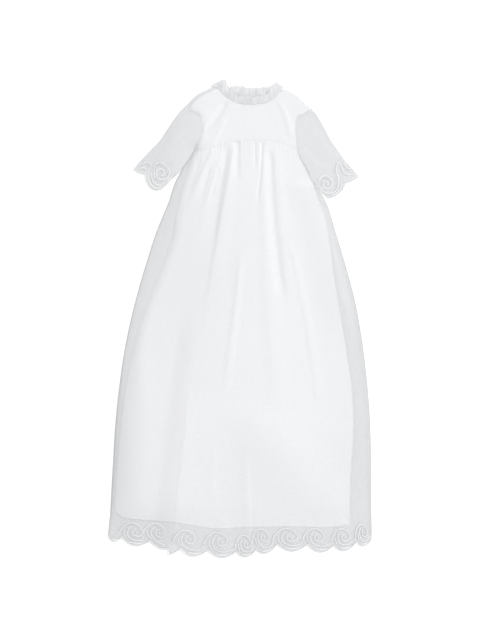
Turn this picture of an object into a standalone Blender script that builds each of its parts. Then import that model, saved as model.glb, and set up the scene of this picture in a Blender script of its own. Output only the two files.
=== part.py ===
"""Christening gown, laid flat on its back with the front up.

A sheer overlay with a scalloped hem lies over a plain lining. A high yoke holds the gathers,
short flat sleeves end in scallops, and a small frill stands round the neck. The back of the
yoke opens down its middle, where the two halves lap and three press studs hold them.

+X runs to the right of a viewer who looks down on the gown, +Y to the neck and +Z up. Left
and right are that viewer's. Tables are in millimetres and the meshes in metres.
"""

import math
from typing import NamedTuple

import bmesh
import bpy
import numpy as np
from mathutils import Vector

MM = 0.001

# Cloth walls and the gaps between them
OVERLAY_WALL = 1.2
LINING_WALL = 1.0
FRILL_WALL = 1.0
SEAM_GAP = 0.3
ARMHOLE_GAP = 0.6

# How high the layers lie: the underside of the back is the floor at zero
BACK_TOP = OVERLAY_WALL
BACK_LINING_BASE = BACK_TOP + SEAM_GAP
BACK_LINING_TOP = BACK_LINING_BASE + LINING_WALL
FRONT_EDGE_LEVEL = 2.0
LINING_EDGE_LEVEL = BACK_LINING_TOP + SEAM_GAP + LINING_WALL / 2
LINING_SHARE = 0.57
STEEPEST_WALL = 0.3
LEVEL_REACH = 200.0

# The linings end this far inside the yoke's seam, and this share of two rows under its neck
LINING_SEAM_INSET = 1.0
LINING_NECK_INSET = 0.35

# The grid of the skirt's front
SKIRT_COLUMNS = 82
SKIRT_ROW_DROPS = (0, 5, 12, 22, 35, 52, 74, 102, 138, 182, 235, 295, 360, 425, 490, 555, 615)
SKIRT_ROW_DROPS += (665, 705, 735, 760, 780)
FINE_STEPS = 4000

# Steps along the other lines
ARMHOLE_STEPS = 12
SLEEVE_STEPS = 18
SHOULDER_STEPS = 6
NECK_STEPS = 14
BACK_HEM_STEPS = 88
FRILL_WAVE_STEPS = 5
SLEEVE_DROPS = (0, 0.14, 0.3, 0.48, 0.66, 0.82, 0.92, 1)

# How far the inside of a sleeve stays from its outer edges, as a share of its width
SLEEVE_INSET = 0.03

# The back opening
CENTRE_BACK = 19.0
LAP_WIDTH = 14.0
LAP_LEVEL = 2.6
LAP_SLOPE = 10.0
STUD_RADIUS = 3.5
STUD_BASE = 1.5
STUD_TOP = 2.3
STUD_HEIGHTS = (428.0, 398.0, 368.0)


class Width(NamedTuple):
    """How far a panel reaches to each side at one height."""

    y: float
    left: float
    right: float


class Level(NamedTuple):
    """How high the front lies at its left side, middle and right side."""

    y: float
    left: float
    middle: float
    right: float


class Fold(NamedTuple):
    """A ridge, or a trough where the rise is below zero, from its top to its bottom end."""

    name: str
    top: tuple
    middle: tuple
    bottom: tuple
    left: float
    right: float
    rise: float
    spread: float
    fade_top: float
    fade_bottom: float


class Scallop(NamedTuple):
    """The valley where a scallop starts, and how far the scallop hangs below its chord."""

    x: float
    y: float
    drop: float


class Gathers(NamedTuple):
    """How many waves a frill has, and how far they swing at its seam and its free edge."""

    waves: int
    base_swing: float
    free_swing: float


class Roll(NamedTuple):
    """A soft edge: its line, and how far in it reaches beside the yoke and down the skirt."""

    line: tuple
    at_yoke: float
    at_skirt: float


class Crowd(NamedTuple):
    """A place across the skirt, from 0 to 1, where the grid's columns draw together."""

    place: float
    reach: float
    pull: float


class Frill(NamedTuple):
    """One station of a frill: where it is sewn on, and where its free edge stands."""

    base: tuple
    free: tuple


SKIRT_CROWDS = (
    Crowd(place=0.0, reach=0.02, pull=2.2),
    Crowd(place=0.262, reach=0.022, pull=1.8),
    Crowd(place=0.547, reach=0.016, pull=1.4),
    Crowd(place=1.0, reach=0.02, pull=2.2),
)
LINING_CROWDS = (Crowd(place=0.0, reach=0.04, pull=1.5), Crowd(place=1.0, reach=0.04, pull=1.5))

SKIRT_WIDTHS = (
    Width(y=330, left=-88.0, right=111.0),
    Width(y=310, left=-101.0, right=121.0),
    Width(y=294, left=-111.5, right=129.5),
    Width(y=268, left=-125.5, right=142.5),
    Width(y=232, left=-137.5, right=165.5),
    Width(y=173, left=-161.5, right=185.5),
    Width(y=115, left=-180.5, right=203.0),
    Width(y=37, left=-203.0, right=224.0),
    Width(y=-41, left=-221.0, right=238.0),
    Width(y=-119, left=-234.0, right=247.5),
    Width(y=-197, left=-242.5, right=253.5),
    Width(y=-275, left=-247.5, right=255.5),
    Width(y=-334, left=-251.0, right=255.5),
    Width(y=-382, left=-253.5, right=256.5),
    Width(y=-425, left=-257.5, right=257.5),
)

LINING_WIDTHS = (
    Width(y=334, left=-70.0, right=98.5),
    Width(y=306, left=-84.0, right=112.5),
    Width(y=290, left=-90.0, right=121.0),
    Width(y=271, left=-97.0, right=130.5),
    Width(y=251, left=-104.0, right=142.0),
    Width(y=232, left=-110.0, right=153.0),
    Width(y=203, left=-118.0, right=163.0),
    Width(y=154, left=-129.0, right=173.5),
    Width(y=134, left=-133.0, right=177.0),
    Width(y=92, left=-149.0, right=182.0),
    Width(y=29, left=-175.0, right=192.0),
    Width(y=-41, left=-202.0, right=204.0),
    Width(y=-80, left=-212.0, right=210.0),
    Width(y=-119, left=-220.0, right=216.0),
    Width(y=-197, left=-231.0, right=221.0),
    Width(y=-320, left=-242.0, right=215.0),
    Width(y=-400, left=-245.5, right=214.0),
)

YOKE_SEAM = ((-88, 330), (-66, 333.5), (-39, 341), (-15.5, 347.5), (14, 349), (43, 349))
YOKE_SEAM += ((64.5, 347.5), (88, 342), (111, 331))

SHOULDER_LEFT = ((-106, 416.3), (-97.5, 424.8), (-85.8, 436.5), (-68.3, 446), (-52.7, 452), (-45, 451))
SHOULDER_RIGHT = ((78, 445.5), (84.8, 448.2), (97.5, 444.3), (111.2, 436.5), (129.7, 419))
SHOULDER_RIGHT += ((139, 410.4),)
FRONT_NECK = ((-45, 451), (-32.2, 441.4), (-21.5, 431.6), (-3.9, 422.9), (16.6, 419.9))
FRONT_NECK += ((37, 420.9), (54.6, 424.8), (68.3, 434.5), (78, 445.5))
BACK_NECK = ((-45, 451), (-25.4, 442.4), (-5.9, 436.9), (CENTRE_BACK, 434.9))
BACK_NECK += ((42.9, 436.9), (62.4, 441.5), (78, 445.5))

ARMHOLE_LEFT = ((-106, 416.3), (-96, 406), (-84, 402.5), (-75.5, 400), (-71.5, 390), (-72.2, 368))
ARMHOLE_LEFT += ((-80, 345), (-88, 330))
ARMHOLE_RIGHT = ((139, 410.4), (127, 402), (114, 397), (108.4, 387), (107.8, 372), (109.2, 352))
ARMHOLE_RIGHT += ((111, 331),)

SLEEVE_LEFT_OUTER = ((-106, 416.3), (-115, 407.2), (-136.5, 378), (-156, 348.8))
SLEEVE_LEFT_OUTER += ((-175.5, 328.3), (-195, 307.5), (-206.7, 293.2))
SLEEVE_LEFT_INNER = ((-89.7, 329.5), (-102.6, 311), (-114.2, 293.4), (-132.6, 274.7))
SLEEVE_LEFT_CUFF = (
    Scallop(x=-206.7, y=293.2, drop=3.0),
    Scallop(x=-183.3, y=285.0, drop=27.0),
    Scallop(x=-132.6, y=274.7, drop=0.0),
)
SLEEVE_RIGHT_OUTER = ((139, 410.4), (142.4, 407.2), (161.9, 378), (177.5, 348.8))
SLEEVE_RIGHT_OUTER += ((191.1, 329.3), (204.8, 309.8), (218.4, 294.2), (231.7, 279.1))
SLEEVE_RIGHT_INNER = ((112.6, 330), (122.8, 310), (131.5, 294), (144, 271), (151.5, 261))
SLEEVE_RIGHT_CUFF = (
    Scallop(x=231.7, y=279.1, drop=4.0),
    Scallop(x=205.9, y=268.8, drop=9.0),
    Scallop(x=172.5, y=237.8, drop=1.0),
    Scallop(x=151.5, y=261.0, drop=0.0),
)

HEM_SCALLOPS = (
    Scallop(x=-257.5, y=-423.0, drop=10.5),
    Scallop(x=-231.0, y=-424.0, drop=14.0),
    Scallop(x=-175.5, y=-431.5, drop=8.0),
    Scallop(x=-138.4, y=-446.5, drop=0.0),
    Scallop(x=-137.2, y=-459.0, drop=0.0),
    Scallop(x=-115.0, y=-446.0, drop=14.5),
    Scallop(x=-62.5, y=-449.5, drop=14.0),
    Scallop(x=-9.5, y=-453.0, drop=13.5),
    Scallop(x=30.5, y=-449.5, drop=14.5),
    Scallop(x=72.5, y=-438.0, drop=14.5),
    Scallop(x=132.0, y=-439.0, drop=15.5),
    Scallop(x=182.0, y=-440.0, drop=16.0),
    Scallop(x=228.0, y=-433.0, drop=11.0),
    Scallop(x=257.5, y=-426.5, drop=0.0),
)
BACK_HEM_LIFT = 3.0
BACK_HEM_INSET = 0.5
SCALLOP_ROUNDNESS = 0.72

LINING_HEM = ((-246.5, -374), (-234, -384), (-197, -391), (-139, -395.5), (-81, -404.5))
LINING_HEM += ((-50, -409), (0, -406.7), (105, -405), (189, -405), (214, -401))

FRONT_LEVELS = (
    Level(y=470, left=7.0, middle=7.6, right=7.0),
    Level(y=400, left=8.0, middle=8.8, right=8.0),
    Level(y=349, left=8.4, middle=9.4, right=8.6),
    Level(y=280, left=8.8, middle=10.8, right=9.0),
    Level(y=100, left=9.5, middle=12.0, right=9.5),
    Level(y=-60, left=10.6, middle=12.2, right=9.6),
    Level(y=-150, left=12.2, middle=12.6, right=9.8),
    Level(y=-230, left=13.6, middle=12.8, right=9.8),
    Level(y=-340, left=12.2, middle=10.0, right=9.2),
    Level(y=-400, left=9.4, middle=8.4, right=7.8),
    Level(y=-470, left=4.2, middle=4.0, right=4.0),
)

FOLDS = (
    Fold("gather one", (-52, 333), (-79, 272), (-108, 200), 5, 9, 2.6, 0.6, 8, 60),
    Fold("gather two", (-34, 338), (-52, 265), (-80, 185), 6, 9, 2.2, 0.6, 20, 60),
    Fold("deep valley", (-22, 345), (-44, 222), (-62, 120), 8, 6, -1.9, 0.4, 10, 80),
    Fold("long left ridge", (-9, 348), (-38, 200), (-84, -60), 6, 10, 3.4, 1.2, 10, 150),
    Fold("centre slit", (-2, 348), (-4, 300), (-9, 240), 4, 4, -1.6, 0.2, 5, 50),
    Fold("centre gather", (14, 348), (13, 232), (6, 120), 8, 9, 1.2, 0.8, 6, 90),
    Fold("short slit", (30.5, 347), (31, 322), (31, 296), 3.2, 3.2, -1.3, 0.2, 5, 20),
    Fold("short gather", (37, 347), (36, 318), (33, 285), 3.2, 4, 1.6, 0.3, 5, 30),
    Fold("right slit", (43, 347), (41, 290), (32, 215), 4, 4, -1.2, 0.3, 5, 40),
    Fold("long right ridge", (52, 347), (38, 120), (66, -236), 7, 12, 3.3, 1.1, 10, 200),
    Fold("right valley", (62, 336), (66, 180), (88, 20), 9, 9, -1.6, 0.6, 20, 90),
    Fold("outer right gather", (72, 336), (84, 190), (106, 10), 8, 12, 1.4, 0.7, 20, 90),
    Fold("thin middle ridge", (-2, 118), (-17, 10), (-40, -180), 7, 9, 1.7, 0.3, 40, 70),
    Fold("tuck", (-66, 70), (-103, -180), (-135, -470), 42, 120, 2.0, 0.0, 150, 1),
    Fold("tuck edge", (-96, -110), (-109, -236), (-135, -470), 4, 40, 2.6, 0.2, 130, 1),
    Fold("right thin ridge", (96, 158), (124, 30), (156, -190), 8, 12, 1.6, 0.5, 50, 70),
    Fold("slanting ridge", (6, -150), (106, -285), (190, -410), 80, 80, 1.5, 0.1, 60, 60),
    Fold("right side fall", (137, 275), (174, 150), (214, -60), 50, 20, 1.4, 0.1, 20, 120),
    Fold("low middle ridge", (13, -225), (15, -330), (21, -470), 10, 8, 1.6, 0.2, 60, 1),
    Fold("low left ridge", (-50, -245), (-51, -300), (-53, -356), 8, 7, 1.2, 0.2, 30, 30),
    Fold("hem wave one", (-196, -380), (-200, -425), (-204, -470), 22, 20, 1.4, 0.0, 30, 1),
    Fold("hem wave two", (-30, -380), (-34, -425), (-38, -470), 20, 20, 1.2, 0.0, 30, 1),
    Fold("hem wave three", (98, -380), (101, -425), (102, -470), 22, 22, 1.3, 0.0, 30, 1),
    Fold("hem wave four", (196, -380), (200, -425), (204, -470), 20, 18, 1.3, 0.0, 30, 1),
)
YOKE_FOLDS = (
    Fold("bodice crease", (-26, 428), (-46, 390), (-80, 350), 12, 9, -1.4, 0.2, 12, 14),
    Fold("bodice pleat", (-28, 396), (-45, 358), (-58, 330), 10, 9, 1.0, 0.2, 14, 12),
    Fold("right bodice ridge", (74, 428), (90, 395), (100, 350), 9, 9, 0.9, 0.2, 14, 14),
)

FRONT_FRILL = (
    Frill(base=(-54, 453.4, 4.4), free=(-53.5, 458.5, 4.6)),
    Frill(base=(-44.5, 452.3, 5.0), free=(-41, 463, 6.0)),
    Frill(base=(-32.0, 442.6, 6.4), free=(-29.8, 465.4, 7.4)),
    Frill(base=(-21.0, 432.6, 7.2), free=(-21.4, 450, 8.6)),
    Frill(base=(-3.7, 423.8, 8.0), free=(-4, 437.2, 9.6)),
    Frill(base=(16.6, 420.8, 8.2), free=(17.5, 434.0, 10.0)),
    Frill(base=(37.0, 421.8, 8.2), free=(36, 434.0, 10.0)),
    Frill(base=(54.3, 425.8, 7.8), free=(51, 438.6, 9.4)),
    Frill(base=(67.6, 435.3, 7.0), free=(61.6, 452.8, 8.6)),
    Frill(base=(77.4, 446.4, 5.6), free=(70.2, 462, 7.0)),
    Frill(base=(84.5, 449.4, 4.6), free=(84.6, 453.5, 4.8)),
)
BACK_FRILL = (
    Frill(base=(-18.5, 441.6, 2.1), free=(-18.6, 454.4, 2.7)),
    Frill(base=(-5.9, 437.9, 2.1), free=(-4, 454.6, 2.9)),
    Frill(base=(CENTRE_BACK, 435.9, 2.1), free=(CENTRE_BACK, 450.4, 3.0)),
    Frill(base=(42.9, 437.9, 2.1), free=(43, 452.2, 2.9)),
    Frill(base=(59.0, 441.8, 2.1), free=(59.4, 454.4, 2.7)),
)
FRONT_GATHERS = Gathers(waves=15, base_swing=0.5, free_swing=1.9)
BACK_GATHERS = Gathers(waves=9, base_swing=0.3, free_swing=0.8)
FRILL_RISES = (1, 0.7, 0.35, 0)
FRILL_UNEVENNESS = 0.25
FRILL_UNEVEN_TURNS = 116.0
FRILL_END_SHARE = 0.05
FRILL_EDGE_WAVE = 0.5

# How far in from an outline the cloth climbs to its full height
SLEEVE_ROLL = 17.0
SHOULDER_ROLL = 11.0
LINING_ROLL = 22.0
ROLL_CHANGE_TOP = 300.0
ROLL_CHANGE_BOTTOM = 140.0

# Colours
SHEER_WHITE = (0.86, 0.865, 0.875, 1)
LINING_WHITE = (0.93, 0.93, 0.935, 1)
STUD_GREY = (0.72, 0.73, 0.75, 1)


def smooth(places, values, at):
    """A soft curve through values at rising places, read at any places between them."""
    places, values = np.asarray(places, float), np.asarray(values, float)
    slopes = np.gradient(values, places)
    at = np.clip(at, places[0], places[-1])
    index = np.clip(np.searchsorted(places, at) - 1, 0, len(places) - 2)
    span = places[index + 1] - places[index]
    f = (at - places[index]) / span
    start = (2 * f**3 - 3 * f**2 + 1) * values[index] + (f**3 - 2 * f**2 + f) * span * slopes[index]
    end = (3 * f**2 - 2 * f**3) * values[index + 1] + (f**3 - f**2) * span * slopes[index + 1]
    return start + end


def column(table, name):
    """One named column of a table whose rows run down the gown, lowest row first."""
    return [getattr(row, name) for row in reversed(table)]


def along(points, shares):
    """Places on a soft line through points, at shares of its length from 0 to 1."""
    points = np.asarray(points, float)
    steps = np.hypot(*np.diff(points[:, :2], axis=0).T)
    lengths = np.concatenate([[0], np.cumsum(steps)]) / steps.sum()
    return np.stack([smooth(lengths, axis, shares) for axis in points.T], -1)


def ease(value):
    """A soft step from 0 to 1."""
    value = np.clip(value, 0, 1)
    return value * value * (3 - 2 * value)


def crowded(count, crowds):
    """Shares from 0 to 1, count steps in all, closer together near each crowd."""
    fine = np.linspace(0, 1, FINE_STEPS + 1)
    density = np.ones_like(fine)
    for crowd in crowds:
        density += crowd.pull * np.exp(-(((fine - crowd.place) / crowd.reach) ** 2))
    total = np.concatenate([[0], np.cumsum((density[1:] + density[:-1]) / 2)])
    return np.interp(np.linspace(0, total[-1], count + 1), total, fine)


def hem_line(table, at):
    """The height of a scalloped hem at the places at."""
    at = np.asarray(at, float)
    line = np.interp(at, [row.x for row in table], [row.y for row in table])
    for row, following in zip(table, table[1:]):
        share = (at - row.x) / (following.x - row.x)
        inside = (share > 0) & (share < 1)
        line = line - row.drop * np.where(inside, arch(share), 0)
    return line


def arch(share):
    """The round outline of one scallop, 0 at its ends and 1 at its middle."""
    return np.abs(np.sin(math.pi * np.clip(share, 0, 1))) ** SCALLOP_ROUNDNESS


def cuff_line(table, shares):
    """A scalloped cuff, whose scallops hang square to their chords."""
    ends = np.array([(row.x, row.y) for row in table], float)
    lengths = np.hypot(*np.diff(ends, axis=0).T)
    marks = np.concatenate([[0], np.cumsum(lengths)]) / lengths.sum()
    points = []
    for share in shares:
        index = min(int(np.searchsorted(marks, share, side="right")) - 1, len(table) - 2)
        part = (share - marks[index]) / (marks[index + 1] - marks[index])
        start, end = ends[index], ends[index + 1]
        square = np.array([end[1] - start[1], start[0] - end[0]]) / lengths[index]
        if square[1] > 0:
            square = -square
        points.append(start + (end - start) * part + square * table[index].drop * arch(part))
    return np.array(points)


def distance(points, line):
    """How far each point lies from a line of straight steps, in plan."""
    line = np.asarray(line, float)
    nearest = np.full(points.shape[:-1], np.inf)
    for start, end in zip(line, line[1:]):
        step = end - start
        share = np.clip(((points - start) @ step) / (step @ step), 0, 1)
        gap = points - (start + share[..., None] * step)
        nearest = np.minimum(nearest, np.hypot(gap[..., 0], gap[..., 1]))
    return nearest


def side_line(table, side):
    """The outline of a panel down one side, from its top to its hem."""
    return [(getattr(row, side), row.y) for row in table]


EDGE_ROLLS = (
    Roll(side_line(SKIRT_WIDTHS, "left"), at_yoke=20.0, at_skirt=58.0),
    Roll(side_line(SKIRT_WIDTHS, "right"), at_yoke=24.0, at_skirt=30.0),
    Roll(SLEEVE_LEFT_OUTER, SLEEVE_ROLL, SLEEVE_ROLL),
    Roll(SLEEVE_LEFT_INNER, SLEEVE_ROLL, SLEEVE_ROLL),
    Roll(SLEEVE_RIGHT_OUTER, SLEEVE_ROLL, SLEEVE_ROLL),
    Roll(SLEEVE_RIGHT_INNER, SLEEVE_ROLL, SLEEVE_ROLL),
    Roll(SHOULDER_LEFT, SHOULDER_ROLL, SHOULDER_ROLL),
    Roll(SHOULDER_RIGHT, SHOULDER_ROLL, SHOULDER_ROLL),
)
SKIRT_LINING_ROLLS = (
    Roll(side_line(LINING_WIDTHS, "left"), LINING_ROLL, LINING_ROLL),
    Roll(side_line(LINING_WIDTHS, "right"), LINING_ROLL, LINING_ROLL),
)
YOKE_LINING_ROLLS = (
    Roll(SHOULDER_LEFT, LINING_ROLL, LINING_ROLL),
    Roll(SHOULDER_RIGHT, LINING_ROLL, LINING_ROLL),
)


def climb(points, rolls):
    """From 0 on an outline to 1 where the cloth has climbed round its soft edge."""
    rise = np.ones(points.shape[:-1])
    lower = ease((ROLL_CHANGE_TOP - points[..., 1]) / (ROLL_CHANGE_TOP - ROLL_CHANGE_BOTTOM))
    for roll in rolls:
        width = roll.at_yoke + (roll.at_skirt - roll.at_yoke) * lower
        share = np.minimum(distance(points, roll.line) / width, 1)
        rise = rise * np.sqrt(1 - (1 - share) ** 2)
    return rise


def level(points):
    """How high the front lies away from its edges, with no folds."""
    x, y = points[..., 0], points[..., 1]
    heights = column(FRONT_LEVELS, "y")
    left, middle, right = (
        smooth(heights, column(FRONT_LEVELS, side), y) for side in ("left", "middle", "right")
    )
    to_left, to_right = ease(-x / LEVEL_REACH), ease(x / LEVEL_REACH)
    return middle + (left - middle) * to_left + (right - middle) * to_right


def fold_rise(points, folds):
    """What all the folds add to the height."""
    x, y = points[..., 0], points[..., 1]
    total = np.zeros_like(x)
    for fold in folds:
        (top_x, top_y), (middle_x, middle_y), (bottom_x, bottom_y) = fold[1:4]
        inside = np.clip(y, bottom_y, top_y)
        centre = (
            top_x * (inside - middle_y) * (inside - bottom_y)
            / ((top_y - middle_y) * (top_y - bottom_y))
            + middle_x * (inside - top_y) * (inside - bottom_y)
            / ((middle_y - top_y) * (middle_y - bottom_y))
            + bottom_x * (inside - top_y) * (inside - middle_y)
            / ((bottom_y - top_y) * (bottom_y - middle_y))
        )
        wider = 1 + fold.spread * (top_y - inside) / (top_y - bottom_y)
        across = (x - centre) / (np.where(x < centre, fold.left, fold.right) * wider)
        shape = 0.5 + 0.5 * np.cos(math.pi * np.clip(across, -1, 1))
        ends = ease((top_y - y) / fold.fade_top) * ease((y - bottom_y) / fold.fade_bottom)
        total += fold.rise * shape * ends
    return total


def front_height(points, folds=()):
    """The middle of the outer front cloth above the floor."""
    rise = climb(points, EDGE_ROLLS)
    return FRONT_EDGE_LEVEL + rise * (level(points) - FRONT_EDGE_LEVEL + fold_rise(points, folds))


def lining_height(points, rolls):
    """The middle of the front lining above the floor: it lies lower and smoother."""
    rise = climb(points, rolls)
    full = np.maximum(LINING_SHARE * level(points), LINING_EDGE_LEVEL)
    return LINING_EDGE_LEVEL + rise * (full - LINING_EDGE_LEVEL)


def with_height(plan, height):
    """Plan points and their heights as points in space."""
    return np.concatenate([plan, np.asarray(height)[..., None]], -1)


def upright_normals(middle):
    """The upward normal at each point of a grid, never lying down all the way.

    At the top and bottom rows it doesn't lean up or down the gown, so that seams stay open.
    """
    down = np.gradient(middle, axis=0)
    across = np.gradient(middle, axis=1)
    normals = np.cross(across, down)
    normals *= np.sign(normals[..., 2:3])
    normals /= np.linalg.norm(normals, axis=-1, keepdims=True)
    normals[[0, -1], :, 1] = 0
    normals[..., 2] = np.maximum(normals[..., 2], STEEPEST_WALL)
    return normals / np.linalg.norm(normals, axis=-1, keepdims=True)


def patch(top, bottom, left, right):
    """A grid of plan points that fills the space between four boundary lines."""
    s = np.linspace(0, 1, len(top))[None, :, None]
    t = np.linspace(0, 1, len(left))[:, None, None]
    between = (1 - t) * top[None] + t * bottom[None] + (1 - s) * left[:, None] + s * right[:, None]
    corners = (1 - t) * ((1 - s) * top[0] + s * top[-1]) + t * ((1 - s) * bottom[0] + s * bottom[-1])
    return between - corners


def cloth(name, colour, roughness=0.85):
    """A plain material for one kind of cloth."""
    material = bpy.data.materials.new(name)
    material.use_nodes = True
    shader = material.node_tree.nodes["Principled BSDF"]
    shader.inputs["Base Color"].default_value = colour
    shader.inputs["Roughness"].default_value = roughness
    shader.inputs["Metallic"].default_value = 0.0
    return material


def add_object(name, vertices, faces, material, crease_angle=50):
    """A mesh object from points in millimetres, shaded smooth up to the crease angle."""
    mesh = bpy.data.meshes.new(name)
    mesh.from_pydata([Vector(point) * MM for point in vertices], [], faces)
    mesh.materials.append(material)
    form = bmesh.new()
    form.from_mesh(mesh)
    bmesh.ops.recalc_face_normals(form, faces=form.faces)
    form.to_mesh(mesh)
    form.free()
    mesh.shade_smooth()
    mesh.set_sharp_from_angle(angle=math.radians(crease_angle))
    placed = bpy.data.objects.new(name, mesh)
    bpy.context.scene.collection.objects.link(placed)
    return placed


def grid_faces(rows, columns, offset=0, flipped=False):
    """Triangles over a grid of points, all cut along the same diagonal."""
    faces = []
    for row in range(rows - 1):
        for place in range(columns - 1):
            a = offset + row * columns + place
            b, c, d = a + 1, a + columns + 1, a + columns
            pair = [(a, d, c), (a, c, b)]
            faces += [face[::-1] for face in pair] if flipped else pair
    return faces


def rim_faces(ring, shift):
    """Triangles that join a ring of points to the same ring on the wall's other side."""
    faces = []
    for here, there in zip(ring, ring[1:] + ring[:1]):
        faces += [(here, there, there + shift), (here, there + shift, here + shift)]
    return faces


def cloth_wall(name, middle, thickness, material):
    """A wall of cloth on both sides of a grid of middle points."""
    rows, columns = middle.shape[:2]
    half = upright_normals(middle) * thickness / 2
    vertices = np.concatenate([(middle + half).reshape(-1, 3), (middle - half).reshape(-1, 3)])
    count = rows * columns
    ring = list(range(columns))
    ring += [row * columns + columns - 1 for row in range(1, rows)]
    ring += [(rows - 1) * columns + place for place in range(columns - 2, -1, -1)]
    ring += [row * columns for row in range(rows - 2, 0, -1)]
    faces = grid_faces(rows, columns) + grid_faces(rows, columns, count, True)
    return add_object(name, vertices, faces + rim_faces(ring, count), material)


def cloth_plate(name, outline, base, top, material):
    """A flat panel with the outline given, from the height base to the height top."""
    form = bmesh.new()
    corners = [form.verts.new((x * MM, y * MM, base * MM)) for x, y in outline]
    face = form.faces.new(corners)
    raised = bmesh.ops.extrude_face_region(form, geom=[face])["geom"]
    upper = [item for item in raised if isinstance(item, bmesh.types.BMVert)]
    bmesh.ops.translate(form, verts=upper, vec=(0, 0, (top - base) * MM))
    bmesh.ops.triangulate(form, faces=form.faces[:])
    bmesh.ops.recalc_face_normals(form, faces=form.faces)
    mesh = bpy.data.meshes.new(name)
    form.to_mesh(mesh)
    form.free()
    mesh.materials.append(material)
    placed = bpy.data.objects.new(name, mesh)
    bpy.context.scene.collection.objects.link(placed)
    return placed


def seam_height(x):
    """The height up the gown of the seam between yoke and skirt."""
    return smooth([point[0] for point in YOKE_SEAM], [point[1] for point in YOKE_SEAM], x)


def skirt_plan():
    """Plan points of the skirt's front: columns fan out from the gathers to the hem."""
    shares = crowded(SKIRT_COLUMNS, SKIRT_CROWDS)
    seam_left, seam_right = YOKE_SEAM[0][0], YOKE_SEAM[-1][0]
    top = seam_height(seam_left + shares * (seam_right - seam_left)) - SEAM_GAP
    hem_left, hem_right = HEM_SCALLOPS[0].x, HEM_SCALLOPS[-1].x
    bottom = hem_line(HEM_SCALLOPS, hem_left + shares * (hem_right - hem_left))
    drops = np.array(SKIRT_ROW_DROPS) / SKIRT_ROW_DROPS[-1]
    y = top + (bottom - top) * drops[:, None]
    heights = column(SKIRT_WIDTHS, "y")
    left = smooth(heights, column(SKIRT_WIDTHS, "left"), y)
    right = smooth(heights, column(SKIRT_WIDTHS, "right"), y)
    return np.stack([left + shares * (right - left), y], -1)


def lining_plan(columns, rows):
    """Plan points of the skirt's front lining."""
    shares = crowded(columns, LINING_CROWDS)
    hem_x, hem_y = zip(*LINING_HEM)
    bottom = smooth(hem_x, hem_y, hem_x[0] + shares * (hem_x[-1] - hem_x[0]))
    start, end = LINING_WIDTHS[0].left, LINING_WIDTHS[0].right
    top = seam_height(start + shares * (end - start)) - LINING_SEAM_INSET
    y = top + (bottom - top) * np.linspace(0, 1, rows + 1)[:, None]
    heights = column(LINING_WIDTHS, "y")
    left = smooth(heights, column(LINING_WIDTHS, "left"), y)
    right = smooth(heights, column(LINING_WIDTHS, "right"), y)
    return np.stack([left + shares * (right - left), y], -1)


def build_skirt(sheer, lining):
    """The overlay's front and back, and the lining's front and back."""
    plan = skirt_plan()
    cloth_wall("skirt_front", with_height(plan, front_height(plan, FOLDS)), OVERLAY_WALL, sheer)

    outline = [tuple(point) for point in plan[0, ::3]]
    outline += [(x - SEAM_GAP, y) for x, y in plan[1:-1, -1]]
    hem_start, hem_end = HEM_SCALLOPS[-1].x - BACK_HEM_INSET, HEM_SCALLOPS[0].x + BACK_HEM_INSET
    hem_places = np.linspace(hem_start, hem_end, BACK_HEM_STEPS)
    outline += list(zip(hem_places, hem_line(HEM_SCALLOPS, hem_places) + BACK_HEM_LIFT))
    outline += [(x + SEAM_GAP, y) for x, y in plan[-2:0:-1, 0]]
    cloth_plate("skirt_back", outline, 0, BACK_TOP, sheer)

    plan = lining_plan(columns=22, rows=12)
    heights = lining_height(plan, SKIRT_LINING_ROLLS)
    cloth_wall("skirt_lining_front", with_height(plan, heights), LINING_WALL, lining)
    outline = [tuple(point) for point in plan[0]]
    outline += [tuple(point) for point in plan[1:, -1]]
    outline += [tuple(point) for point in plan[-1, -2::-1]]
    outline += [tuple(point) for point in plan[-2:0:-1, 0]]
    cloth_plate("skirt_lining_back", outline, BACK_LINING_BASE, BACK_LINING_TOP, lining)


def yoke_boundaries(neck):
    """The four boundary lines of the yoke: its top, its seam and its two armholes."""
    shoulder = np.linspace(0, 1, SHOULDER_STEPS + 1)
    top = np.concatenate([
        along(SHOULDER_LEFT, shoulder),
        along(neck, np.linspace(0, 1, NECK_STEPS + 1))[1:-1],
        along(SHOULDER_RIGHT, shoulder),
    ])
    places = np.linspace(YOKE_SEAM[0][0], YOKE_SEAM[-1][0], len(top))
    bottom = np.stack([places, seam_height(places)], -1)
    down = np.linspace(0, 1, ARMHOLE_STEPS + 1)
    left, right = along(ARMHOLE_LEFT, down), along(ARMHOLE_RIGHT, down)
    left[-1], right[-1] = bottom[0], bottom[-1]
    return top, bottom, left, right


def back_neck_height(x):
    """The height up the gown of the neck edge at the back."""
    return smooth([point[0] for point in BACK_NECK], [point[1] for point in BACK_NECK], x)


def build_yoke_front(sheer, lining):
    """The yoke's front, and the lining that shows through it."""
    plan = patch(*yoke_boundaries(FRONT_NECK))
    heights = front_height(plan, YOKE_FOLDS)
    cloth_wall("yoke_front", with_height(plan, heights), OVERLAY_WALL, sheer)
    inner = plan[::2, 1:-1:2].copy()
    inner[0] += LINING_NECK_INSET * (plan[2, 1:-1:2] - plan[0, 1:-1:2])
    inner[-1, :, 1] += LINING_SEAM_INSET
    heights = lining_height(inner, YOKE_LINING_ROLLS)
    cloth_wall("yoke_lining_front", with_height(inner, heights), LINING_WALL, lining)


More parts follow.
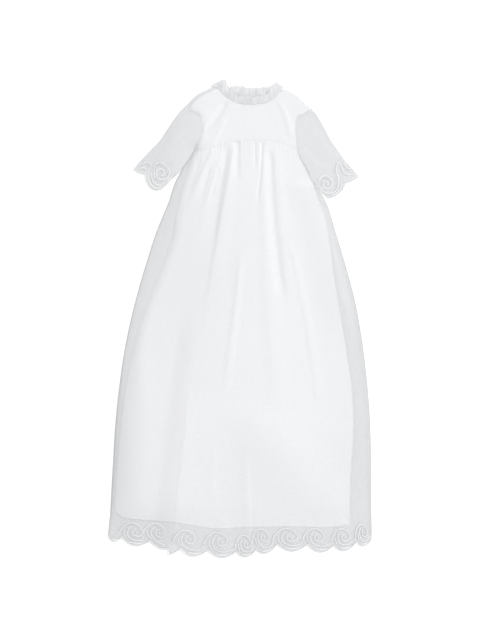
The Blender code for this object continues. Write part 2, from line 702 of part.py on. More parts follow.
def build_yoke_backs(sheer, metal):
    """The two halves of the yoke's back, which lap in the middle, and their press studs."""
    top, bottom, left, right = yoke_boundaries(BACK_NECK)
    lap_start, lap_end = CENTRE_BACK - LAP_WIDTH / 2, CENTRE_BACK + LAP_WIDTH / 2
    outline = [tuple(point) for point in top if point[0] < lap_end - 1]
    outline += [(lap_end, back_neck_height(lap_end)), (lap_end, seam_height(lap_end))]
    outline += [tuple(point) for point in bottom[::-1] if point[0] < lap_end - 1]
    outline += [tuple(point) for point in left[-2:0:-1]]
    cloth_plate("yoke_back_left", outline, 0, BACK_TOP, sheer)

    shoulder = along(SHOULDER_RIGHT, np.linspace(0, 1, SHOULDER_STEPS + 1))
    lap = np.array([lap_start, lap_end - 2, *(lap_end + LAP_SLOPE * np.array([0.3, 0.65, 1]))])
    beyond = lap[-1] + LAP_SLOPE
    neck = np.concatenate([lap, np.linspace(beyond, shoulder[0][0], 4)[:-1]])
    top = np.concatenate([np.stack([neck, back_neck_height(neck)], -1), shoulder])
    places = np.concatenate([lap, np.linspace(beyond, YOKE_SEAM[-1][0], len(top) - len(lap))])
    bottom = np.stack([places, seam_height(places)], -1)
    half = patch(top, bottom, np.linspace(top[0], bottom[0], len(right)), right)
    over_lap = ease((lap_end + LAP_SLOPE - half[..., 0]) / (0.7 * LAP_SLOPE))
    heights = OVERLAY_WALL / 2 + LAP_LEVEL * over_lap
    cloth_wall("yoke_back_right", with_height(half, heights), OVERLAY_WALL, sheer)

    for number, height in enumerate(STUD_HEIGHTS, 1):
        bpy.ops.mesh.primitive_cylinder_add(
            vertices=16,
            radius=STUD_RADIUS * MM,
            depth=(STUD_TOP - STUD_BASE) * MM,
            location=(CENTRE_BACK * MM, height * MM, (STUD_BASE + STUD_TOP) / 2 * MM),
        )
        stud = bpy.context.object
        stud.name = f"press_stud_{number}"
        stud.data.materials.append(metal)


def moved_square(line, gap):
    """A line moved square to itself in plan, to its right as it runs for a gap above zero."""
    run = np.gradient(line, axis=0)
    run /= np.linalg.norm(run, axis=-1, keepdims=True)
    return line + gap * np.stack([run[:, 1], -run[:, 0]], -1)


def build_sleeve(name, armhole, outer, inner, cuff, gap, sheer):
    """A flattened tube of cloth, open at the armhole and at its scalloped cuff."""
    shares = np.linspace(0, 1, SLEEVE_STEPS + 1)
    top = moved_square(along(armhole, shares), gap)
    outer_side, inner_side = along(outer, SLEEVE_DROPS), along(inner, SLEEVE_DROPS)
    outer_side[0], inner_side[0] = top[0], top[-1]
    plan = patch(top, cuff_line(cuff, shares), outer_side, inner_side)
    places = (SLEEVE_INSET + (1 - 2 * SLEEVE_INSET) * shares) * SLEEVE_STEPS
    low = np.minimum(places.astype(int), SLEEVE_STEPS - 1)
    part = (places - low)[None, :, None]
    inside = plan[:, low] * (1 - part) + plan[:, low + 1] * part

    outer_front = with_height(plan, front_height(plan) + OVERLAY_WALL / 2)
    outer_back = with_height(plan, np.zeros(plan.shape[:2]))
    inner_front = with_height(inside, front_height(inside) - OVERLAY_WALL / 2)
    inner_back = with_height(inside, np.full(inside.shape[:2], OVERLAY_WALL))
    outer_ring = np.concatenate([outer_front, outer_back[:, ::-1]], 1)
    inner_ring = np.concatenate([inner_front, inner_back[:, ::-1]], 1)

    rows, around = outer_ring.shape[:2]
    count = rows * around
    faces = []
    for row in range(rows - 1):
        for place in range(around):
            a = row * around + place
            b = row * around + (place + 1) % around
            c, d = b + around, a + around
            faces += [(a, d, c), (a, c, b)]
            faces += [(c + count, d + count, a + count), (b + count, c + count, a + count)]
    for row in (0, rows - 1):
        faces += rim_faces([row * around + place for place in range(around)], count)
    vertices = np.concatenate([outer_ring.reshape(-1, 3), inner_ring.reshape(-1, 3)])
    add_object(name, vertices, faces, sheer)


def build_frill(name, stations, gathers, sheer):
    """A gathered strip that stands up from the neck seam."""
    shares = np.linspace(0, 1, gathers.waves * FRILL_WAVE_STEPS + 1)
    base = along([station.base for station in stations], shares)
    free = along([station.free for station in stations], shares)
    turns = shares * gathers.waves * 2 * math.pi
    uneven = 1 + FRILL_UNEVENNESS * np.sin(FRILL_UNEVEN_TURNS * shares + 1)
    ends = ease(shares / FRILL_END_SHARE) * ease((1 - shares) / FRILL_END_SHARE)
    rows = []
    for share in FRILL_RISES:
        line = base + (free - base) * share
        swing = (gathers.base_swing + (gathers.free_swing - gathers.base_swing) * share) * ends
        line[:, 2] += swing * uneven * np.sin(turns)
        line[:, 1] += FRILL_EDGE_WAVE * share * ends * np.cos(turns)
        rows.append(line)
    cloth_wall(name, np.array(rows), FRILL_WALL, sheer)


for old in list(bpy.data.objects):
    bpy.data.objects.remove(old)


def main():
    """Build every piece of the gown."""
    sheer = cloth("sheer_overlay", SHEER_WHITE)
    lining = cloth("cotton_lining", LINING_WHITE)
    metal = cloth("press_stud_metal", STUD_GREY, roughness=0.35)
    metal.node_tree.nodes["Principled BSDF"].inputs["Metallic"].default_value = 1.0
    build_skirt(sheer, lining)
    build_yoke_front(sheer, lining)
    build_yoke_backs(sheer, metal)
    left = (ARMHOLE_LEFT, SLEEVE_LEFT_OUTER, SLEEVE_LEFT_INNER, SLEEVE_LEFT_CUFF)
    right = (ARMHOLE_RIGHT, SLEEVE_RIGHT_OUTER, SLEEVE_RIGHT_INNER, SLEEVE_RIGHT_CUFF)
    build_sleeve("sleeve_left", *left, ARMHOLE_GAP, sheer)
    build_sleeve("sleeve_right", *right, -ARMHOLE_GAP, sheer)
    build_frill("neck_frill_front", FRONT_FRILL, FRONT_GATHERS, sheer)
    build_frill("neck_frill_back", BACK_FRILL, BACK_GATHERS, sheer)


main()
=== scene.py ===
"""A christening gown laid flat on a pale floor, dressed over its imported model.

Each panel of the gown is a thin sheet in the place of its solid: sheer overlays with corded
scrollwork at the hem and cuffs, plain linings under them, a gathered neck frill, seam stitches
and three press studs in the back lap. Tables and sizes are in millimetres unless a name or a
docstring says metres, and meshes are in metres. Left and right are those of a viewer who looks
down on the front of the gown.
"""

import logging
import math
from dataclasses import dataclass, field
from enum import Enum
from functools import cache
from typing import NamedTuple, Sequence

import bmesh
import bpy
import numpy as np
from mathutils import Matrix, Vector


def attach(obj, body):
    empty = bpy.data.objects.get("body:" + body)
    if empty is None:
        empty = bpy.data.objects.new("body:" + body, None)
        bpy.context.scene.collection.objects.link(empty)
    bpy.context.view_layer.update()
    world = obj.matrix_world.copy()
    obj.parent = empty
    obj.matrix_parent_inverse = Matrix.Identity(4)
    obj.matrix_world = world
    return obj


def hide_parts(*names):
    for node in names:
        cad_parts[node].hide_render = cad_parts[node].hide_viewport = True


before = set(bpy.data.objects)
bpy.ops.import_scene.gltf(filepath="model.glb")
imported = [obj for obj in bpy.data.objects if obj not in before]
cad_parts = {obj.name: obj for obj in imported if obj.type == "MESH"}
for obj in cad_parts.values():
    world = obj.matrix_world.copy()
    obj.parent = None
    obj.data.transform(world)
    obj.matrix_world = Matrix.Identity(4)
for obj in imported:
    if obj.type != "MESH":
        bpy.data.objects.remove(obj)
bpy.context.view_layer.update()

log = logging.getLogger("gown")

MM = 0.001
Array = np.ndarray
Line = Sequence[tuple[float, float]]
# How wide and how long a piece of cloth is cut, in metres
Cut = tuple[float, float]
Piece = bpy.types.Object
Socket = bpy.types.NodeSocket


# Tables' rows

class Width(NamedTuple):
    """How far a panel reaches to each side at one height."""

    y: float
    left: float
    right: float


class Level(NamedTuple):
    """How high the front lies at its left side, middle and right side."""

    y: float
    left: float
    middle: float
    right: float


class Fold(NamedTuple):
    """A ridge, or a trough where the rise is below zero, from its top to its bottom end."""

    name: str
    top: tuple[float, float]
    middle: tuple[float, float]
    bottom: tuple[float, float]
    left: float
    right: float
    rise: float
    spread: float
    fade_top: float
    fade_bottom: float


class Scallop(NamedTuple):
    """The valley where a scallop starts, and how far the scallop hangs below its chord."""

    x: float
    y: float
    drop: float


class Scroll(NamedTuple):
    """The eye of one scroll on the hem, and how far across its scallop it may run."""

    eye_x: float
    eye_y: float
    last_x: float


class Roll(NamedTuple):
    """A soft edge: its line, and how far in it reaches beside the yoke and down the skirt."""

    line: Line
    at_yoke: float
    at_skirt: float


class Station(NamedTuple):
    """One station of a frill: where it is sewn on, and where its free edge stands."""

    base: tuple[float, float, float]
    free: tuple[float, float, float]


def rows(kind: type, *values: tuple) -> tuple:
    """Make a table of named rows, whose columns are the fields of their kind in order."""
    return tuple(kind(*row) for row in values)


SKIRT_WIDTHS = rows(
    Width,
    (352, -76, 99),
    (330, -88, 111),
    (310, -101, 121),
    (294, -111.5, 129.5),
    (268, -125.5, 142.5),
    (232, -137.5, 165.5),
    (173, -161.5, 185.5),
    (115, -180.5, 203),
    (37, -203, 224),
    (-41, -221, 238),
    (-119, -233.4, 247.5),
    (-197, -241.9, 253.5),
    (-275, -246.9, 255.5),
    (-334, -250.4, 255.5),
    (-382, -252.9, 256.5),
    (-425, -257.5, 257.5),
)
LINING_WIDTHS = rows(
    Width,
    (334, -85, 110.5),
    (319, -91.5, 117),
    (306, -97, 122.5),
    (290, -101, 131),
    (271, -107, 139.5),
    (251, -113, 146.5),
    (232, -118, 153),
    (203, -124, 163),
    (154, -131, 173.5),
    (134, -138.5, 177),
    (92, -154, 182),
    (29, -179, 192),
    (-41, -202, 204),
    (-80, -212, 210),
    (-119, -220, 216),
    (-197, -231, 221),
    (-320, -242, 215),
    (-400, -245.5, 214),
)

YOKE_SEAM = (
    (-88, 330), (-66, 333.5), (-39, 341), (-15.5, 347.5), (14, 349), (43, 349),
    (64.5, 347.5), (88, 342), (111, 331),
)
SHOULDER_LEFT = ((-106, 416.3), (-97.5, 424.8), (-85.8, 436.5), (-68.3, 446), (-52.7, 452), (-45, 451))
SHOULDER_RIGHT = (
    (78, 445.5), (84.8, 448.2), (97.5, 444.3), (111.2, 436.5), (129.7, 419),
    (139, 410.4),
)
FRONT_NECK = (
    (-45, 451), (-32.2, 441.4), (-21.5, 431.6), (-3.9, 422.9), (16.6, 419.9),
    (37, 420.9), (54.6, 424.8), (68.3, 434.5), (78, 445.5),
)
CENTRE_BACK = 19.0
BACK_NECK = (
    (-45, 451), (-25.4, 442.4), (-5.9, 436.9), (CENTRE_BACK, 434.9),
    (42.9, 436.9), (62.4, 441.5), (78, 445.5),
)
ARMHOLE_LEFT = (
    (-106, 416.3), (-96, 406), (-84, 402.5), (-75.5, 400), (-71.5, 390), (-72.2, 368),
    (-80, 345), (-88, 330),
)
ARMHOLE_RIGHT = (
    (139, 410.4), (127, 402), (114, 397), (108.4, 387), (107.8, 372), (109.2, 352),
    (111, 331),
)

LEFT_OUTER = (
    (-106, 416.3), (-115, 407.2), (-136.5, 378), (-156, 348.8),
    (-175.5, 328.3), (-195, 307.5), (-206.7, 293.2),
)
LEFT_INNER = ((-89.5, 329.5), (-99.6, 311), (-113.5, 293.4), (-132.6, 274.7))
LEFT_CUFF = rows(
    Scallop,
    (-206.7, 293.2, 3),
    (-183.3, 285, 27),
    (-132.6, 274.7, 0),
)
RIGHT_OUTER = (
    (139, 410.4), (142.4, 407.2), (161.9, 378), (177.5, 348.8),
    (191.1, 329.3), (204.8, 309.8), (218.4, 294.2), (231.7, 279.1),
)
RIGHT_INNER = ((111.2, 330), (118, 315.5), (126.8, 300), (134, 286), (140.4, 271), (149.5, 261))
RIGHT_CUFF = rows(
    Scallop,
    (231.7, 279.1, 4),
    (205.9, 268.8, 9),
    (172.5, 237.8, 1),
    (149.5, 261, 0),
)

HEM_SCALLOPS = rows(
    Scallop,
    (-257.5, -423, 10.5),
    (-231, -424, 14),
    (-175.5, -431.5, 8),
    (-138.4, -446.5, 0),
    (-137.2, -459, 3),
    (-115, -446, 14.5),
    (-62.5, -449.5, 14),
    (-7, -453, 13.5),
    (31.8, -449, 14),
    (72.5, -438, 14.5),
    (132, -439, 15.5),
    (183.6, -440.5, 15.5),
    (228, -433, 12.5),
    (257.5, -428, 0),
)
SCALLOP_FULLNESS = 0.72
HEM_FOLD = HEM_SCALLOPS[4].x
# Scrolls counted from the left, from 0: the one before the hem's fold, and those cut off by a fold
FOLDED_SCROLL = 1
CUT_SCROLLS = (1, 4, 9)
HEM_SCROLLS = rows(
    Scroll,
    (-201.6, -416.2, -172),
    (-156.8, -417.6, -145),
    (-98.3, -429.9, -60),
    (-36.5, -434.6, -2),
    (13.7, -439.6, 28),
    (47.4, -426, 76),
    (99.5, -426.8, 136),
    (152.9, -427, 186),
    (204.8, -426.4, 231),
    (242.6, -417.6, 256),
)
LINING_HEM = (
    (-246.5, -374), (-234, -384), (-197, -391), (-139, -395.5), (-81, -404.5),
    (-50, -409), (0, -406.7), (105, -405), (189, -405), (214, -401),
)

FRONT_LEVELS = rows(
    Level,
    (470, 5, 3.6, 3),
    (400, 8, 4.4, 3.2),
    (349, 8.4, 5.8, 3.6),
    (280, 5, 8.4, 4.6),
    (100, 5.2, 11.2, 5.6),
    (-60, 7.5, 12, 6),
    (-150, 11.5, 12.6, 6.5),
    (-230, 14, 13, 7),
    (-340, 12.5, 7.8, 5.2),
    (-400, 7.5, 5, 4),
    (-440, 3.2, 2.8, 2.6),
    (-470, 2.2, 2.2, 2.2),
)

SKIRT_FOLDS = rows(
    Fold,
    ("gather one", (-52, 333), (-79, 272), (-108, 200), 5, 12, 0.9, 0.6, 8, 60),
    ("gather two", (-34, 338), (-52, 265), (-80, 185), 6, 13, 0.6, 0.6, 40, 60),
    ("left slit one", (-76, 322), (-92, 270), (-108, 232), 10, 7, -0.7, 0.2, 20, 30),
    ("left slit two", (-56, 306), (-66, 268), (-78, 225), 10, 7, -0.7, 0.2, 20, 30),
    ("left slit three", (-40, 300), (-50, 256), (-62, 215), 7, 5, -0.5, 0.2, 14, 30),
    ("deep valley", (-22, 345), (-43, 222), (-60, 120), 24, 8, -1.3, 0.4, 24, 80),
    ("long left ridge", (-9, 348), (-34, 200), (-76, -60), 5, 16, 1.2, 1.8, 30, 200),
    ("centre slit", (-5, 348), (-5.5, 315), (-7, 255), 12, 9, -1.2, 0.2, 5, 50),
    ("short slit", (29, 347), (29.5, 322), (30, 290), 4, 4, -0.6, 0.2, 5, 20),
    ("short gather", (37, 347), (36, 318), (33, 285), 3.2, 4, 0.3, 0.3, 5, 30),
    ("right slit", (43, 347), (41, 290), (32, 215), 4, 4, -0.8, 0.3, 5, 40),
    ("long right ridge", (50, 347), (53, 120), (82, -236), 16, 24, 0.7, 0.7, 60, 160),
    ("right valley", (59, 334), (67, 180), (87, 20), 15, 9, -1.25, 0.4, 20, 60),
    ("outer right gather", (70, 336), (82, 190), (106, 10), 8, 16, 0.5, 0.7, 30, 90),
    ("thin middle ridge", (4, 140), (-9, 10), (-36, -180), 9, 12, 0.9, 0.3, 50, 120),
    ("tuck", (-66, 70), (-103, -180), (-135, -470), 42, 130, 3.2, 0, 150, 1),
    ("tuck edge", (-96, -110), (-109, -236), (-135, -470), 4, 26, 0.7, 0.1, 100, 1),
    ("right thin ridge", (96, 158), (124, 30), (156, -190), 8, 13, 0.5, 0.5, 50, 70),
    ("slanting ridge", (6, -150), (106, -285), (190, -410), 100, 90, 1.6, 0.1, 60, 60),
    ("right side fall", (137, 275), (174, 150), (214, -60), 60, 20, 2.4, 0.1, 20, 120),
    ("low middle ridge", (13, -225), (15, -330), (21, -470), 13, 8, 0.45, 0.2, 60, 1),
    ("low left ridge", (-50, -245), (-51, -300), (-53, -356), 10, 7, 0.35, 0.2, 30, 30),
    ("hem wave one", (-196, -380), (-200, -425), (-204, -470), 22, 20, 0.8, 0, 30, 1),
    ("hem wave two", (-30, -380), (-34, -425), (-38, -470), 20, 20, 0.7, 0, 30, 1),
    ("hem wave three", (98, -380), (101, -425), (102, -470), 22, 22, 0.7, 0, 30, 1),
    ("hem wave four", (196, -380), (200, -425), (204, -470), 20, 18, 0.7, 0, 30, 1),
)
YOKE_FOLDS = rows(
    Fold,
    ("bodice crease", (-26, 428), (-46, 390), (-80, 350), 14, 9, -1, 0.2, 12, 14),
    ("bodice pleat", (-28, 396), (-45, 358), (-58, 330), 12, 9, 0.6, 0.2, 14, 12),
    ("right bodice ridge", (74, 428), (90, 395), (100, 350), 9, 9, 0.5, 0.2, 14, 14),
)
SLEEVE_FOLDS = rows(
    Fold,
    ("left sleeve crease", (-95, 352), (-120, 325), (-150, 305), 7, 9, -1, 0.3, 12, 14),
    ("left sleeve fall", (-84, 404), (-120, 348), (-165, 296), 44, 70, 1.8, 0, 20, 14),
    ("left sleeve ridge", (-105, 380), (-132, 345), (-165, 312), 10, 10, 0.9, 0.3, 20, 14),
    ("right sleeve crease", (122, 350), (146, 318), (172, 296), 8, 8, -0.3, 0.3, 12, 14),
    ("right sleeve fall", (139, 412), (178, 349), (232, 276), 78, 10, -1.6, 0, 20, 6),
    ("right sleeve ridge", (128, 384), (158, 346), (186, 306), 14, 16, 0.4, 0.3, 20, 14),
)
BACK_FOLDS = rows(
    Fold,
    ("back gather one", (-50, 337), (-90, 180), (-130, -60), 9, 10, 0.7, 1.2, 10, 160),
    ("back gather two", (-22, 345), (-40, 160), (-62, -120), 8, 10, 0.8, 1.4, 10, 180),
    ("back gather three", (12, 349), (10, 150), (4, -160), 9, 9, 0.7, 1.5, 10, 200),
    ("back gather four", (44, 348), (58, 150), (80, -140), 9, 9, 0.8, 1.3, 10, 180),
    ("back gather five", (76, 345), (110, 170), (150, -50), 10, 9, 0.7, 1.2, 10, 160),
    ("back crease", (60, -120), (20, -260), (-60, -380), 14, 14, 0.5, 0.2, 50, 50),
)

FRONT_FRILL = rows(
    Station,
    ((-54, 453.4, 4.4), (-53.5, 458.5, 5.4)),
    ((-44.5, 452.3, 5), (-41, 463, 7.2)),
    ((-32, 442.6, 6.4), (-29.8, 465.4, 8.6)),
    ((-21, 432.6, 7.2), (-21.4, 450, 8.6)),
    ((-3.7, 423.8, 8), (-4, 437.2, 9.2)),
    ((16.6, 420.8, 8.2), (17.5, 434, 9.4)),
    ((37, 421.8, 8.2), (36, 434, 9.2)),
    ((54.3, 425.8, 7.8), (51, 438.6, 8.2)),
    ((67.6, 435.3, 7), (61.6, 452.8, 6.8)),
    ((77.4, 446.4, 5.6), (70.2, 462, 5)),
    ((84.5, 449.4, 4.6), (84.6, 453.5, 4.4)),
)
BACK_FRILL = rows(
    Station,
    ((-18.5, 441.6, 2.1), (-18.6, 454.4, 2.7)),
    ((-5.9, 437.9, 2.1), (-4, 454.6, 2.9)),
    ((CENTRE_BACK, 435.9, 2.1), (CENTRE_BACK, 450.4, 3)),
    ((42.9, 437.9, 2.1), (43, 452.2, 2.9)),
    ((59, 441.8, 2.1), (59.4, 454.4, 2.7)),
)

# One scroll of the hem, across its scallop and up from its chord, in scallop pitches
SCROLL_PITCH = 54.0
SCROLL_EYE = (0.5, 0.25)
ARM_AND_CURL = (
    (-0.11, 0.12), (-0.04, 0.31), (0.06, 0.45), (0.2, 0.55), (0.36, 0.58),
    (0.53, 0.54), (0.66, 0.43), (0.71, 0.28), (0.65, 0.16), (0.53, 0.11),
    (0.41, 0.14), (0.36, 0.25), (0.41, 0.36), (0.49, 0.39),
)
INNER_SWEEP = (
    (0.32, 0.48), (0.24, 0.39), (0.19, 0.26), (0.21, 0.11), (0.3, -0.01),
    (0.42, -0.06), (0.58, -0.07), (0.74, -0.02),
)
SIDE_LEAF = ((0.1, 0.3), (0.08, 0.2), (0.1, 0.1), (0.15, 0.02))

# The scrollwork of the cuffs, line by line
LEFT_CUFF_LINES = (
    ((-168, 297), (-163.8, 302.3), (-157.6, 304.6), (-150.7, 303.4), (-144.5, 299.4),
     (-139.2, 293.2), (-136.9, 286.4), (-138.8, 279.6), (-144.5, 273.6), (-151.5, 271.2),
     (-158, 273.5), (-162.5, 280), (-161.8, 287.5), (-156, 292.2), (-149.6, 290.8),
     (-146.4, 285.6), (-148.6, 280.6), (-153.6, 280.2)),
    ((-178.5, 281.7), (-177.8, 272.6), (-173.4, 263.3), (-167.5, 257.5), (-159.9, 255.2),
     (-150, 256.5), (-142.5, 262.5), (-137.6, 270)),
    ((-172.2, 285), (-171.8, 275.6), (-168.3, 267), (-162, 261.8), (-154, 260.6)),
    ((-166.5, 290), (-167.6, 282), (-165.8, 273.5)),
    ((-190, 300), (-183, 305.5), (-175.3, 304), (-171, 297.5)),
    ((-195, 293.8), (-187.5, 295.5), (-181.5, 291.5)),
)
RIGHT_CUFF_LINES = (
    ((153.5, 270), (156.6, 274.6), (160.8, 278), (166, 279.4), (171.8, 278), (177.1, 273.3),
     (180, 267), (179.6, 260.6), (175.6, 255.8), (169.4, 254.2), (164, 257.2), (162.4, 263),
     (165.2, 268), (170, 268.4), (172.6, 264.6), (170.4, 261.2)),
    ((155, 259.5), (158.4, 254.2), (163.6, 249.3), (171, 245.4), (179.4, 245.6), (186.6, 249.6),
     (191, 256), (192.8, 264), (192.6, 272), (190.6, 280), (188.6, 288), (188.6, 296),
     (191.2, 303.4), (196, 308)),
    ((197.8, 301), (199.4, 293.2), (204, 285.6), (210.8, 281.4), (219.2, 281.9), (226.5, 281)),
    ((202.6, 303.4), (205.5, 298.6), (210.6, 294), (216, 292)),
    ((198.6, 268.5), (197.8, 260), (194.2, 251.5), (188, 244.8), (179.5, 241.4)),
)
STITCH_PITCH = 2.6


# Soft curves

def steps(count: int) -> Array:
    """The shares from 0 to 1, in even steps."""
    return np.linspace(0, 1, count + 1)


def distances(line: Array) -> Array:
    """How far along a line each of its points lies."""
    return np.concatenate([[0], np.cumsum(np.linalg.norm(np.diff(line, axis=0), axis=1))])


def unit(vectors: Array) -> Array:
    """The same directions at a length of 1."""
    return vectors / np.maximum(np.linalg.norm(vectors, axis=1, keepdims=True), 1e-9)


def smooth(places: Sequence[float], values: Sequence[float], at: Array) -> Array:
    """Read a soft curve through some values.

    Args:
        places: Rising places where the values are given.
        values: The values there.
        at: The places to read the curve at, held between the first and last place.

    Returns:
        The curve's values at those places.
    """
    places, values = np.asarray(places, float), np.asarray(values, float)
    slopes = np.gradient(values, places)
    at = np.clip(at, places[0], places[-1])
    index = np.clip(np.searchsorted(places, at) - 1, 0, len(places) - 2)
    span = places[index + 1] - places[index]
    f = (at - places[index]) / span
    start = (2 * f**3 - 3 * f**2 + 1) * values[index] + (f**3 - 2 * f**2 + f) * span * slopes[index]
    end = (3 * f**2 - 2 * f**3) * values[index + 1] + (f**3 - f**2) * span * slopes[index + 1]
    return start + end


def column(table: Sequence[NamedTuple], name: str) -> list[float]:
    """One named column of a table whose rows run down the gown, lowest row first."""
    return [getattr(row, name) for row in reversed(table)]


def read(line: Line, x: Array) -> Array:
    """The height up the gown of a line that runs across it, at the places x."""
    return smooth(*zip(*line), x)


def seam_height(x: Array) -> Array:
    """The height up the gown of the seam between yoke and skirt."""
    return read(YOKE_SEAM, x)


def sides(table: Sequence[Width], y: Array) -> tuple[Array, Array]:
    """Where a panel's left and right sides lie at the heights y up the gown."""
    heights = column(table, "y")
    return smooth(heights, column(table, "left"), y), smooth(heights, column(table, "right"), y)


def side_line(table: Sequence[Width], side: str) -> Line:
    """The outline of a panel down one side, from its top to its hem."""
    return [(getattr(row, side), row.y) for row in table]


def along(points: Sequence[Sequence[float]], shares: Array) -> Array:
    """Follow a soft line through points.

    Args:
        points: The points of the line, in plan or in space.
        shares: How far along the line to read it, from 0 to 1.

    Returns:
        One point for each share.
    """
    points = np.asarray(points, float)
    lengths = distances(points[:, :2])
    return np.stack([smooth(lengths / lengths[-1], axis, shares) for axis in points.T], -1)


def ease(value: Array) -> Array:
    """A soft step from 0 to 1."""
    value = np.clip(value, 0, 1)
    return value * value * (3 - 2 * value)


def arch(share: Array) -> Array:
    """The round outline of one scallop, 0 at its ends and 1 at its middle."""
    return np.abs(np.sin(math.pi * np.clip(share, 0, 1))) ** SCALLOP_FULLNESS


def hem_line(at: Array) -> Array:
    """Follow the scalloped hem.

    Args:
        at: Places across it.

    Returns:
        Its height up the gown at those places.
    """
    at = np.asarray(at, float)
    line = np.interp(at, [row.x for row in HEM_SCALLOPS], [row.y for row in HEM_SCALLOPS])
    for row, following in zip(HEM_SCALLOPS, HEM_SCALLOPS[1:]):
        share = (at - row.x) / (following.x - row.x)
        line = line - row.drop * np.where((share > 0) & (share < 1), arch(share), 0)
    return line


def cuff_line(table: Sequence[Scallop], shares: Array) -> Array:
    """Follow a scalloped cuff, whose scallops hang square to their chords.

    Args:
        table: The valleys of the cuff and their drops.
        shares: How far along the cuff to read it, from 0 to 1.

    Returns:
        One plan point for each share.
    """
    ends = np.array([row[:2] for row in table], float)
    marks = distances(ends)
    points = []
    for mark in shares * marks[-1]:
        index = min(int(np.searchsorted(marks, mark, side="right")) - 1, len(table) - 2)
        length = marks[index + 1] - marks[index]
        part = (mark - marks[index]) / length
        chord = ends[index + 1] - ends[index]
        square = np.array([chord[1], -chord[0]]) / length
        if square[1] > 0:
            square = -square
        points.append(ends[index] + chord * part + square * table[index].drop * arch(part))
    return np.array(points)


def distance(points: Array, line: Line) -> Array:
    """Measure how far points lie from a line of straight steps, in plan.

    Args:
        points: Plan points.
        line: The corners of the line.

    Returns:
        The distance of each point from the nearest place on the line.
    """
    corners = np.asarray(line, float)
    nearest = np.full(points.shape[:-1], np.inf)
    for start, end in zip(corners, corners[1:]):
        step = end - start
        share = np.clip(((points - start) @ step) / (step @ step), 0, 1)
        gap = points - (start + share[..., None] * step)
        nearest = np.minimum(nearest, np.hypot(gap[..., 0], gap[..., 1]))
    return nearest


def patch(top: Array, bottom: Array, left: Array, right: Array) -> Array:
    """Fill the space between four boundary lines.

    Args:
        top: The first row of plan points.
        bottom: The last row, with as many points.
        left: The first column.
        right: The last column, with as many points as the first.

    Returns:
        A grid of plan points, rows by columns.
    """
    s = np.linspace(0, 1, len(top))[None, :, None]
    t = np.linspace(0, 1, len(left))[:, None, None]
    between = (1 - t) * top[None] + t * bottom[None] + (1 - s) * left[:, None] + s * right[:, None]
    corners = (1 - t) * ((1 - s) * top[0] + s * top[-1]) + t * ((1 - s) * bottom[0] + s * bottom[-1])
    return between - corners


def with_height(plan: Array, height: Array | float) -> Array:
    """Plan points and their heights as points in space."""
    return np.concatenate([plan, np.broadcast_to(height, plan.shape[:-1])[..., None]], -1)


# The lie of the cloth

def fold_rise(points: Array, folds: Sequence[Fold]) -> Array:
    """Add up what all the folds do to the height.

    Args:
        points: Plan points.
        folds: The folds that cross them.

    Returns:
        The rise at each point, below zero in a trough.
    """
    x, y = points[..., 0], points[..., 1]
    total = np.zeros_like(x)
    for fold in folds:
        places = (fold.top, fold.middle, fold.bottom)
        top, bottom = fold.top[1], fold.bottom[1]
        inside = np.clip(y, bottom, top)
        centre = sum(
            place[0] * math.prod((inside - other[1]) / (place[1] - other[1])
                                 for other in places if other is not place)
            for place in places
        )
        wider = 1 + fold.spread * (top - inside) / (top - bottom)
        across = (x - centre) / (np.where(x < centre, fold.left, fold.right) * wider)
        shape = 0.5 + 0.5 * np.cos(math.pi * np.clip(across, -1, 1))
        ends = ease((top - y) / fold.fade_top) * ease((y - bottom) / fold.fade_bottom)
        total += fold.rise * shape * ends
    return total


@dataclass(frozen=True)
class Drape:
    """How high the cloth of the front lies over the floor."""

    rolls: tuple[Roll, ...]
    edge_level: float = 2.0
    share: float = 1.0
    limp: bool = False
    level_reach: float = 200.0
    change_top: float = 60.0
    change_bottom: float = -160.0

    def climb(self, points: Array) -> Array:
        """Find how far the cloth has climbed round its soft edges.

        Args:
            points: Plan points.

        Returns:
            0 on an outline, 1 where the cloth is fully up.
        """
        rise = np.ones(points.shape[:-1])
        lower = ease((self.change_top - points[..., 1]) / (self.change_top - self.change_bottom))
        for roll in self.rolls:
            width = roll.at_yoke + (roll.at_skirt - roll.at_yoke) * lower
            share = np.minimum(distance(points, roll.line) / width, 1)
            round_edge = 1 - (1 - share) ** 2
            rise = rise * (round_edge if self.limp else round_edge ** 0.65)
        return rise

    def level(self, points: Array) -> Array:
        """Find how high the front lies away from its edges, with no folds.

        Args:
            points: Plan points.

        Returns:
            The height above the floor at each point.
        """
        x, y = points[..., 0], points[..., 1]
        heights = column(FRONT_LEVELS, "y")
        left, middle, right = (
            smooth(heights, column(FRONT_LEVELS, side), y) for side in ("left", "middle", "right")
        )
        to_left, to_right = ease(-x / self.level_reach), ease(x / self.level_reach)
        return middle + (left - middle) * to_left + (right - middle) * to_right

    def height(self, points: Array, folds: Sequence[Fold] = ()) -> Array:
        """Find how high the cloth lies.

        Args:
            points: Plan points.
            folds: The folds that show on this cloth.

        Returns:
            The height above the floor at each point.
        """
        full = np.maximum(self.share * self.level(points), self.edge_level)
        folded = full - self.edge_level + fold_rise(points, folds)
        return self.edge_level + self.climb(points) * folded


